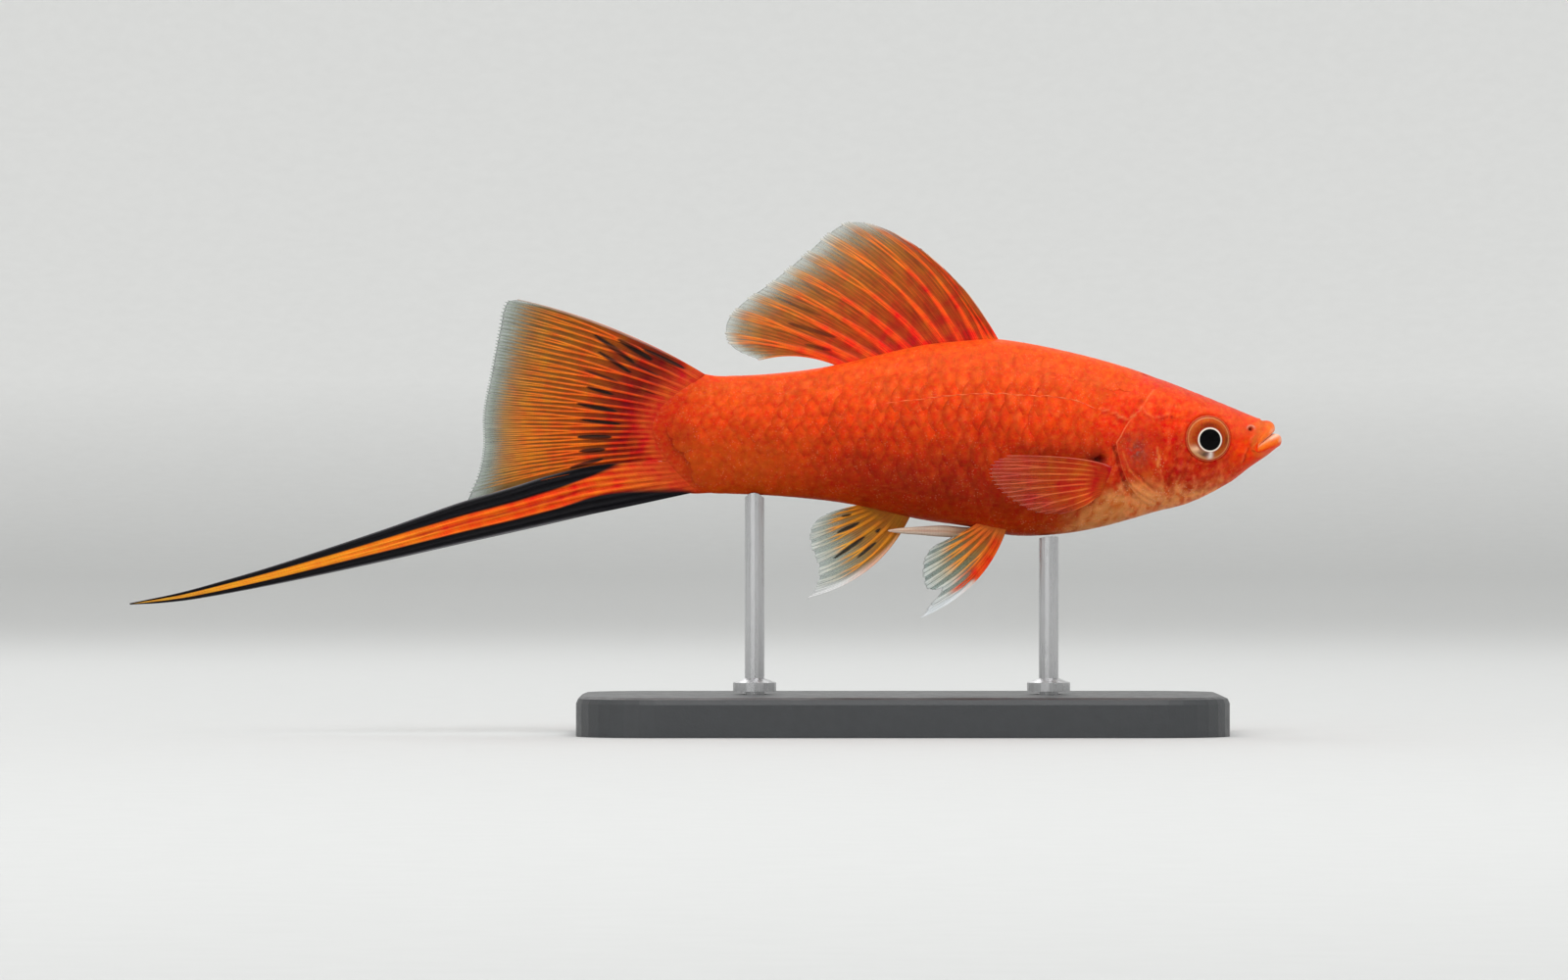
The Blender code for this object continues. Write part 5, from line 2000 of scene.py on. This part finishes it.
        style = FinPaint(
            ray=Ramp(((0, 206, 58, 18), (0.06, 214, 72, 24), (0.14, 196, 52, 12), (0.24, 216, 64, 10),
                      (0.45, 238, 98, 16), (0.75, 226, 118, 28), (0.88, 186, 128, 66), (0.95, 136, 144, 130),
                      (1, 186, 194, 188))),
            web=Ramp(((0, 196, 52, 12), (0.06, 190, 44, 6), (0.13, 150, 28, 2), (0.2, 114, 16, 1),
                      (0.3, 124, 38, 4), (0.45, 150, 66, 6), (0.6, 140, 74, 10), (0.82, 120, 84, 24),
                      (0.92, 108, 120, 100), (1, 136, 150, 146))),
            ray_opacity=Line(((0, 1.0), (0.85, 0.97), (0.94, 0.85), (1, 0.7))),
            web_opacity=Line(((0, 1.0), (0.3, 0.97), (0.6, 0.93), (0.84, 0.8), (0.93, 0.45), (1, 0.28))))
        streaks = (
            Streak((67.7, 9.95), (64.1, 7.75), 0.34), Streak((65.2, 8.95), (60.9, 6.95), 0.28),
            Streak((70.1, 10.4), (66.0, 7.5), 0.3), Streak((69.7, 8.68), (66.3, 6.45), 0.25),
            Streak((71.1, 6.8), (67.7, 5.6), 0.18, 0.75), Streak((70.95, 5.1), (68.2, 4.3), 0.23),
            Streak((71.9, 3.4), (67.8, 2.55), 0.27), Streak((71.5, 1.75), (67.4, 1.25), 0.22),
            Streak((71.9, -0.05), (68.3, -0.05), 0.28, 1.0), Streak((71.6, -1.5), (68.9, -1.3), 0.26, 1.0),
            Streak((72.7, -3.25), (69.2, -2.25), 0.24), Streak((66.3, 5.2), (63.9, 4.3), 0.12, 0.6),
            Streak((67.0, 7.9), (63.6, 6.2), 0.14, 0.7))
        sheet = bent(lambda across: self.flesh_root(up_at(across)), tip, bow)
        return Fin("caudal_rays", "caudal_fin", sheet, 19, 76, style, 20.0, per_ray=16, marks=upper_edge,
                   root_half=lambda across: self.flesh_half(up_at(across)), power=1.1, streaks=streaks,
                   ray_width=(0.22, 0.12))

    def sword(self) -> Fin:
        """The sword: long lower rays in orange between two black stripes.

        Returns:
            Its plan.
        """
        upper = Line((
            (60.0, -2.4), (69.5, -2.9), (74.75, -4.0), (78.3, -5.1), (83.75, -6.7), (87.6, -8.05),
            (91.4, -9.4), (98.55, -11.8), (103.5, -13.4), (107.6, -14.6), (112.3, -15.9),
            (TOTAL_LENGTH, -17.0)))
        lower = Line((
            (58.0, -5.5), (59.8, -5.7), (62.0, -6.15), (66.4, -7.1), (70.7, -8.0), (74.75, -8.95),
            (79.4, -10.0), (84.8, -11.2), (90.3, -12.45), (95.8, -13.65), (103.5, -15.25), (110.9, -16.6),
            (114.5, -17.0), (TOTAL_LENGTH, -17.15)))
        upper_black = Line((
            (0.0, -0.1), (0.08, -0.03), (0.11, 0.1), (0.16, 0.23), (0.24, 0.33), (0.4, 0.34), (0.5, 0.31),
            (0.6, 0.31), (0.75, 0.3), (0.91, 0.31), (0.97, 0.36), (1.0, 0.55)))
        lower_black = Line((
            (0.0, 1.05), (0.02, 0.85), (0.05, 0.74), (0.1, 0.64), (0.16, 0.63), (0.24, 0.71), (0.42, 0.71),
            (0.51, 0.69), (0.61, 0.67), (0.75, 0.67), (0.88, 0.67), (0.97, 0.62), (1.0, 0.5)))

        def up_at(across: float) -> float:
            """A ray's height at the flesh's edge."""
            return self.fan_low + (self.stem_low - self.fan_low) * across

        def sheet(across: float, along: float) -> Vector:
            """A place of the sword's middle sheet.

            Args:
                across: share across the sword, 0 on its upper edge.
                along: share along the rays.

            Returns:
                The place as (back, out, up).
            """
            start = self.flesh_root(up_at(across))[0]
            back = start + (TOTAL_LENGTH - start) * along
            return Vector((back, 0.0, upper.at(back) * (1 - across) + lower.at(back) * across))

        def stripes(across: float, along: float, crest: float) -> Mark:
            """The two black stripes with their thin pale outer lines.

            Args:
                across: share across the fin.
                along: share along the rays.
                crest: how much the place is on a ray, not used.

            Returns:
                How much of the mark shows, and its colour.
            """
            over, under = upper_black.at(along), lower_black.at(along)
            soft = 0.025 + 0.1 * rise(along, 0.16, 0.04)
            dark = max(rise(across, over + soft, over - soft), rise(across, under - soft, under + soft))
            rim = 0.03 + 0.02 * along
            pale = max(bell(across, rim), bell(across - 1, rim)) * rise(along, 0.15, 0.3)
            seam = 0.75 * bell(across - (over + under) / 2, 0.035)
            seam *= rise(along, 0.1, 0.2) * rise(along, 0.62, 0.45)
            black = mix(paint(12, 11, 16), paint(150, 148, 152), 0.6 * pale)
            return max(dark, seam), mix(paint(168, 26, 6), black, rise(dark - seam, -0.1, 0.1))

        style = FinPaint(
            ray=Ramp(((0, 206, 58, 18), (0.04, 226, 80, 30), (0.12, 246, 104, 20), (0.3, 255, 98, 14),
                      (0.42, 255, 116, 20), (0.6, 255, 170, 44), (0.8, 255, 188, 54), (1, 236, 176, 70))),
            web=Ramp(((0, 196, 52, 12), (0.06, 200, 60, 12), (0.16, 236, 66, 8), (0.3, 246, 76, 8),
                      (0.42, 250, 92, 12), (0.6, 255, 142, 26), (0.8, 255, 164, 36), (1, 226, 160, 50))),
            ray_opacity=Line(((0, 1.0), (1, 1.0))), web_opacity=Line(((0, 1.0), (1, 1.0))))
        return Fin("sword_rays", "sword", sheet, 8, 170, style, 56.0, per_ray=8, marks=stripes,
                   forks=(2.0, 2.0), root_half=lambda across: self.flesh_half(up_at(across)),
                   ray_half=(0.3, 0.14), ray_width=(0.28, 0.03), slot="sword_black", web_half=0.12,
                   fringe=0.0)

    def anal(self) -> Fin:
        """The anal fin.

        Returns:
            Its plan.
        """
        root = Line(((0, 37.7), (1, 42.2)))
        tip = Line((
            (0, 48.4, -16.5), (0.12, 47.5, -15.2), (0.3, 47.3, -13.3), (0.5, 48.0, -11.3), (0.7, 48.1, -9.6),
            (0.85, 47.3, -8.4), (1, 45.7, -7.6)))
        bow = Line(((0, -1.1, -1.3), (0.4, -0.2, -0.4), (1, 0, 0)))

        def root_at(across: float) -> tuple[float, float, float]:
            """A ray's start in the belly."""
            back = root.at(across)
            return back, 0.0, self.trunk.belly_up(back) + self.sunk

        def pale_front(across: float, along: float, crest: float) -> Mark:
            """The pinkish white leading edge."""
            pale = mix(paint(232, 176, 146), paint(250, 250, 250), rise(along, 0.4, 0.8))
            return 0.92 * rise(across, 0.05 + 0.1 * along, 0.03) * rise(along, 0.1, 0.4), pale

        style = FinPaint(
            ray=Ramp(((0, 186, 106, 22), (0.25, 214, 128, 30), (0.45, 246, 150, 38), (0.68, 246, 164, 60),
                      (0.8, 206, 200, 176), (1, 228, 232, 228))),
            web=Ramp(((0, 168, 92, 18), (0.3, 162, 100, 24), (0.5, 130, 104, 46), (0.7, 124, 140, 116),
                      (1, 156, 174, 168))),
            ray_opacity=Line(((0, 1.0), (0.7, 0.97), (0.85, 0.75), (1, 0.6))),
            web_opacity=Line(((0, 1.0), (0.3, 0.92), (0.5, 0.75), (0.75, 0.5), (1, 0.36))))
        streaks = (
            Streak((45.32, -9.81), (43.1, -8.8), 0.24), Streak((44.9, -8.15), (43.9, -7.95), 0.15),
            Streak((45.6, -12.4), (42.5, -10.2), 0.24), Streak((43.3, -12.4), (41.3, -10.75), 0.19),
            Streak((41.45, -9.8), (40.95, -9.45), 0.2))
        return Fin("anal_rays", "anal_fin", bent(root_at, tip, bow), 9, 52, style, 9.0, marks=pale_front,
                   streaks=streaks, ray_width=(0.34, 0.1), rays_from=0.12, forks=(0.45, 0.7),
                   spread=(0.16, 0.08), fine=0.4)

    def pelvic(self, side: Side) -> Fin:
        """A pelvic fin with its long front lobe.

        Args:
            side: its side of the fish.

        Returns:
            Its plan.
        """
        root = Line(((0, 28.0, 1.35), (1, 30.7, 1.3)))
        tip = Line((
            (0, 36.9, 3.4, -18.5), (0.14, 35.9, 3.2, -17.3), (0.27, 34.6, 2.9, -15.5),
            (0.36, 35.9, 3.0, -15.7), (0.5, 36.5, 2.9, -14.6), (0.7, 36.5, 2.7, -12.8),
            (0.85, 35.7, 2.5, -11.4), (1, 34.0, 2.2, -10.6)))
        bow = Line(((0, -1.2, -0.9), (0.4, -0.3, -0.3), (1, 0, 0)))

        def root_at(across: float) -> tuple[float, float, float]:
            """A ray's start in the belly."""
            back, out = root.values(across)
            return back, side.value * out, self.trunk.belly_up(back, out) + self.sunk

        def front_lobe(across: float, along: float, crest: float) -> Mark:
            """The red-orange front lobe with its bluish-white edge and tip.

            Args:
                across: share across the fin.
                along: share along the rays.
                crest: how much the place is on a ray.

            Returns:
                How much of the mark shows, and its colour.
            """
            end = 0.5 + 0.2 * crest * rise(across, 0.08, 0.14) + 0.3 * across
            red = rise(across, 0.34, 0.2) * rise(along, 0.05, 0.2) * rise(along, end + 0.16, end - 0.06)
            pale = 0.92 * rise(across, 0.16 + 0.1 * along, 0.04) * rise(along, 0.22, 0.6)
            white = mix(paint(226, 190, 172), paint(246, 250, 254), rise(along, 0.4, 0.75))
            return max(0.95 * red, pale), mix(paint(240, 72, 14), white, rise(pale - red, -0.2, 0.2))

        style = FinPaint(
            ray=Ramp(((0, 226, 96, 32), (0.35, 240, 122, 40), (0.6, 244, 156, 62), (0.78, 204, 200, 180),
                      (1, 226, 232, 230))),
            web=Ramp(((0, 196, 84, 26), (0.3, 160, 104, 44), (0.55, 126, 130, 96), (1, 146, 168, 162))),
            ray_opacity=Line(((0, 1.0), (0.65, 0.95), (0.85, 0.75), (1, 0.65))),
            web_opacity=Line(((0, 1.0), (0.3, 0.8), (0.6, 0.5), (1, 0.34))))
        sheet = bent(root_at, tip, bow, side.value)
        return Fin(f"pelvic_rays_{side.word}", f"pelvic_fin_{side.word}", sheet, 8, 44, style, 10.0,
                   marks=front_lobe, ray_width=(0.32, 0.1), rays_from=0.0, spread=(0.17, 0.08))

    def pectoral(self, side: Side) -> Fin:
        """A pectoral fin laid back along the flank.

        Args:
            side: its side of the fish.

        Returns:
            Its plan.
        """
        root = Line(((0, 17.8, -3.15), (1, 19.3, -5.9)))
        tip = Line((
            (0, 28.2, 7.5, -1.95), (0.15, 29.6, 7.8, -2.65), (0.3, 30.0, 7.9, -3.7), (0.5, 29.3, 7.7, -5.1),
            (0.7, 27.5, 7.3, -6.6), (0.85, 25.4, 6.8, -7.7), (1, 22.8, 5.9, -7.9)))
        bow = Line(((0, -1.3, 0.5, 0.35), (1, -0.5, 0.4, -0.2)))

        def root_at(across: float) -> tuple[float, float, float]:
            """A ray's start in the flank."""
            back, up = root.values(across)
            return back - 0.5, side.value * (self.trunk.flank_out(back, up) - 0.4), up

        def fleshy_root(across: float, along: float, crest: float) -> Mark:
            """The smooth red lobe that the rays leave, and the pale line along the upper edge.

            Args:
                across: share across the fin.
                along: share along the rays.
                crest: how much the place is on a ray, not used.

            Returns:
                How much of the mark shows, and its colour.
            """
            pale = 0.6 * rise(across, 0.035, 0.01) * rise(along, 0.02, 0.1)
            lobe = mix(paint(204, 46, 12), paint(216, 72, 18), rise(across, 0.4, 1.0))
            return max(pale, 0.97 * rise(along, 0.26, 0.1)), mix(lobe, paint(236, 128, 116), pale)

        style = FinPaint(
            ray=Ramp(((0, 222, 76, 24), (0.3, 238, 108, 42), (0.6, 226, 104, 58), (0.85, 206, 100, 76),
                      (1, 204, 112, 96))),
            web=Ramp(((0, 204, 56, 12), (0.3, 208, 64, 12), (0.6, 196, 62, 20), (1, 184, 70, 44))),
            ray_opacity=Line(((0, 1.0), (0.5, 0.9), (0.85, 0.7), (1, 0.5))),
            web_opacity=Line(((0, 0.97), (0.3, 0.88), (0.5, 0.72), (0.75, 0.55), (1, 0.35))))
        sheet = bent(root_at, tip, bow, side.value)
        return Fin(f"pectoral_rays_{side.word}", f"pectoral_fin_{side.word}", sheet, 10, 44, style, 11.0,
                   forks=(0.62, 2.0), ray_width=(0.15, 0.1), ray_half=(0.09, 0.07), rays_from=0.12,
                   root_half=lambda across: 0.3, marks=fleshy_root)

    def build(self, material: Material) -> None:
        """Builds every fin.

        Args:
            material: the fins' finish.
        """
        plans = [self.dorsal(), self.caudal(), self.sword(), self.anal()]
        for side in Side:
            plans += [self.pelvic(side), self.pectoral(side)]
        for plan in plans:
            plan.build(material)


@dataclass
class Gonopodium:
    """The slender rod of joined rays behind the pelvic fins."""

    trunk: Trunk
    around: int = 16
    rows: int = 60
    path: Line = Line((
        (0.0, 30.2, -0.08, -9.2), (0.15, 31.6, -0.2, -9.75), (0.42, 34.5, -0.55, -9.65),
        (0.68, 37.0, -1.0, -9.6), (0.88, 39.0, -1.3, -9.6), (1.0, 40.2, -1.45, -9.6)))
    radius: Line = Line(((0.0, 0.3), (0.15, 0.5), (0.42, 0.58), (0.68, 0.42), (0.88, 0.26), (1.0, 0.06)))
    flatness: float = 0.62

    def build(self, material: Material) -> None:
        """Builds the rod from a grid rolled round its path.

        Args:
            material: the fins' finish.
        """
        bm, spots, layers = grid(self.around, self.rows, "Rays")
        tones, spread = layers["Tone"], layers["Rays"]
        for vert, (column, row) in spots.items():
            along, turn = row / self.rows, 2 * math.pi * column / self.around
            middle = Vector(self.path.values(along))
            groove = 1 - 0.12 * bell(math.sin(turn), 0.25)
            size = 0.0 if row in (0, self.rows) else self.radius.at(along) * groove
            ring = Vector((0, self.flatness * math.cos(turn) * size, math.sin(turn) * size))
            vert.co = to_frame(*(middle + ring))
            tone = mix(paint(206, 150, 110), paint(232, 206, 186), rise(along, 0.1, 0.5))
            tone = mix(tone, paint(206, 140, 112), 0.6 * bell(math.sin(turn * 3), 0.35))
            vert[tones] = (*tone, 0.95)
            for loop in vert.link_loops:
                loop[spread].uv = (column / self.around, along * 0.5)
        bmesh.ops.remove_doubles(bm, verts=bm.verts, dist=SAME_POINT)
        settle("gonopodium_rays", bm, material, "pale_fin", "gonopodium")


class Stand:
    """The plain stand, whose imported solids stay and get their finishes."""

    @staticmethod
    def dress(finishes: dict[str, Material]) -> None:
        """Puts the finishes on the stand's nodes.

        Args:
            finishes: a material by node name.
        """
        for name, material in finishes.items():
            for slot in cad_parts[name].material_slots:
                slot.material = material
            log.info("%s: finish %s", name, material.name)


@dataclass
class Studio:
    """A pale round floor that curves up into a wall, soft lights, and the camera framed as the photo is."""

    floor_radius: float = 2.0
    bend_radius: float = 0.8
    bend_steps: int = 12
    wall_top: float = 2.0
    floor_drop: float = 0.00002
    distance: float = 1.1
    view_width: float = 0.16
    middle: tuple[float, float] = (8.0, 24.85)
    lights: tuple[tuple[str, tuple[float, float, float], float, float], ...] = (
        ("key", (0.10, -0.35, 0.62), 0.45, 2.0), ("fill", (-0.35, -0.60, 0.25), 0.5, 0.5),
        ("rim", (-0.1, 0.45, 0.5), 0.4, 0.9))
    lit_at: tuple[float, float, float] = (0.01, 0, 0.03)
    sky: tuple[float, float, float, float] = (1.0, 0.99, 0.97, 1)
    sky_strength: float = 0.9

    def build(self) -> None:
        """Builds the floor, the lights and the camera."""
        self.build_floor()
        for light in self.lights:
            self.add_light(*light)
        world = bpy.data.worlds.new("studio")
        world.use_nodes = True
        Bench(world.node_tree).set(world.node_tree.nodes["Background"], Color=self.sky,
                                   Strength=self.sky_strength)
        bpy.context.scene.world = world
        bpy.context.scene.view_settings.view_transform = "Standard"
        self.add_camera()

    def build_floor(self) -> None:
        """Builds the floor and its wall by spinning their profile."""
        profile = [(self.floor_radius * share, 0.0) for share in (0.0, 0.15, 0.4, 0.7)]
        for k in range(self.bend_steps + 1):
            turn = math.pi / 2 * k / self.bend_steps
            profile.append((self.floor_radius + self.bend_radius * math.sin(turn),
                            self.bend_radius * (1 - math.cos(turn))))
        profile.append((self.floor_radius + self.bend_radius, self.wall_top))
        bm = spun([(reach, height - self.floor_drop) for reach, height in profile], 96, 0.00001)
        bmesh.ops.recalc_face_normals(bm, faces=bm.faces)
        if sum(face.normal.z for face in bm.faces) < 0:
            bmesh.ops.reverse_faces(bm, faces=bm.faces)
        mesh = bpy.data.meshes.new("studio_floor")
        bm.to_mesh(mesh)
        bm.free()
        mesh.shade_smooth()
        mesh.materials.append(self.paper())
        floor = bpy.data.objects.new("studio_floor", mesh)
        bpy.context.scene.collection.objects.link(floor)

    @staticmethod
    def paper() -> Material:
        """The floor's faintly fibrous paper, paler up the wall.

        Returns:
            The material.
        """
        material, bench, shader, place = new_finish("pale paper")
        parts = bench.node("SeparateXYZ", Vector=place)
        fibres = bench.node("TexNoise", Vector=place, Scale=220.0, Detail=3.0)
        risen = bench.node("MapRange", Value=parts.outputs["Z"], From_Min=0.0, From_Max=0.06)
        shade = bench.blend(risen.outputs[0], (0.62, 0.63, 0.63), (0.90, 0.91, 0.91))
        flat = bench.node("MapRange", Value=fibres.outputs["Fac"], To_Min=0.97, To_Max=1.02)
        sheet = bench.node("HueSaturation", Value=flat.outputs[0], Color=shade)
        bench.set(shader, Base_Color=sheet.outputs["Color"], Roughness=0.9)
        return material

    def add_light(self, name: str, place: tuple[float, float, float], size: float, power: float) -> None:
        """Adds a soft light that looks at the fish.

        Args:
            name: its name.
            place: where it stands.
            size: its side.
            power: its power in watts.
        """
        light = bpy.data.lights.new(name, "AREA")
        light.size = size
        light.energy = power
        lamp = bpy.data.objects.new(name, light)
        lamp.location = place
        lamp.rotation_euler = (Vector(place) - Vector(self.lit_at)).to_track_quat("Z", "Y").to_euler()
        bpy.context.scene.collection.objects.link(lamp)

    def add_camera(self) -> None:
        """Adds the camera, level and square to the right flank."""
        camera = bpy.data.cameras.new("camera")
        camera.sensor_width = 36.0
        camera.lens = camera.sensor_width * self.distance / self.view_width
        camera.clip_start = 0.01
        stand = bpy.data.objects.new("camera", camera)
        stand.location = (self.middle[0] * MM, -self.distance, self.middle[1] * MM)
        stand.rotation_euler = (math.pi / 2, 0, 0)
        bpy.context.scene.collection.objects.link(stand)
        bpy.context.scene.camera = stand


def main() -> None:
    """Builds and dresses the swordtail, its stand and the studio."""
    logging.basicConfig(level=logging.INFO, format="%(message)s")
    effects = SharedEffects()
    skin = SkinFinish("wet red skin", 0.45, 850.0, 0.85, 5200.0, 0.5, coat=0.01, specular=0.07,
                      subsurface=0.1, drift=0.025).make(effects)
    scale = ScaleFinish("red scales", 0.45, 900.0, 0.8, 6500.0, 0.3, coat=0.01, specular=0.07,
                        subsurface=0.06, drift=0.022).make(effects)
    fin = FinFinish("fin skin and rays", 0.45, 300.0, 0.3, 4000.0, 0.3, coat=0.02, specular=0.1,
                    see_through=True).make(effects)
    gaze = Finish("wet eye", 0.1, 2400.0, 0.5, 3000.0, 0.0, coat=0.05, specular=0.05).make(effects)
    plate = StandFinish("charcoal satin", (0.045, 0.048, 0.052), 0.42, 0.0, 900.0, 0.25).make(effects)
    steel = StandFinish("brushed steel", (0.56, 0.56, 0.57), 0.3, 1.0, 2400.0, 0.3,
                        brushing=0.06).make(effects)

    trunk, eye = Trunk(), Eye()
    livery = Livery(trunk, eye)
    Skin(trunk, livery, eye).build(skin)
    Scales(trunk, livery).build(scale)
    for side in Side:
        LateralLine(trunk, livery, side).build(skin)
        GillCover(trunk, livery, side).build(skin)
        EyePiece(eye, side).build(gaze)
    Fins(trunk).build(fin)
    Gonopodium(trunk).build(fin)
    Stand.dress({"stand_base": plate, "stand_rod_rear": steel, "stand_rod_front": steel})
    Studio().build()


if __name__ == "__main__":
    main()
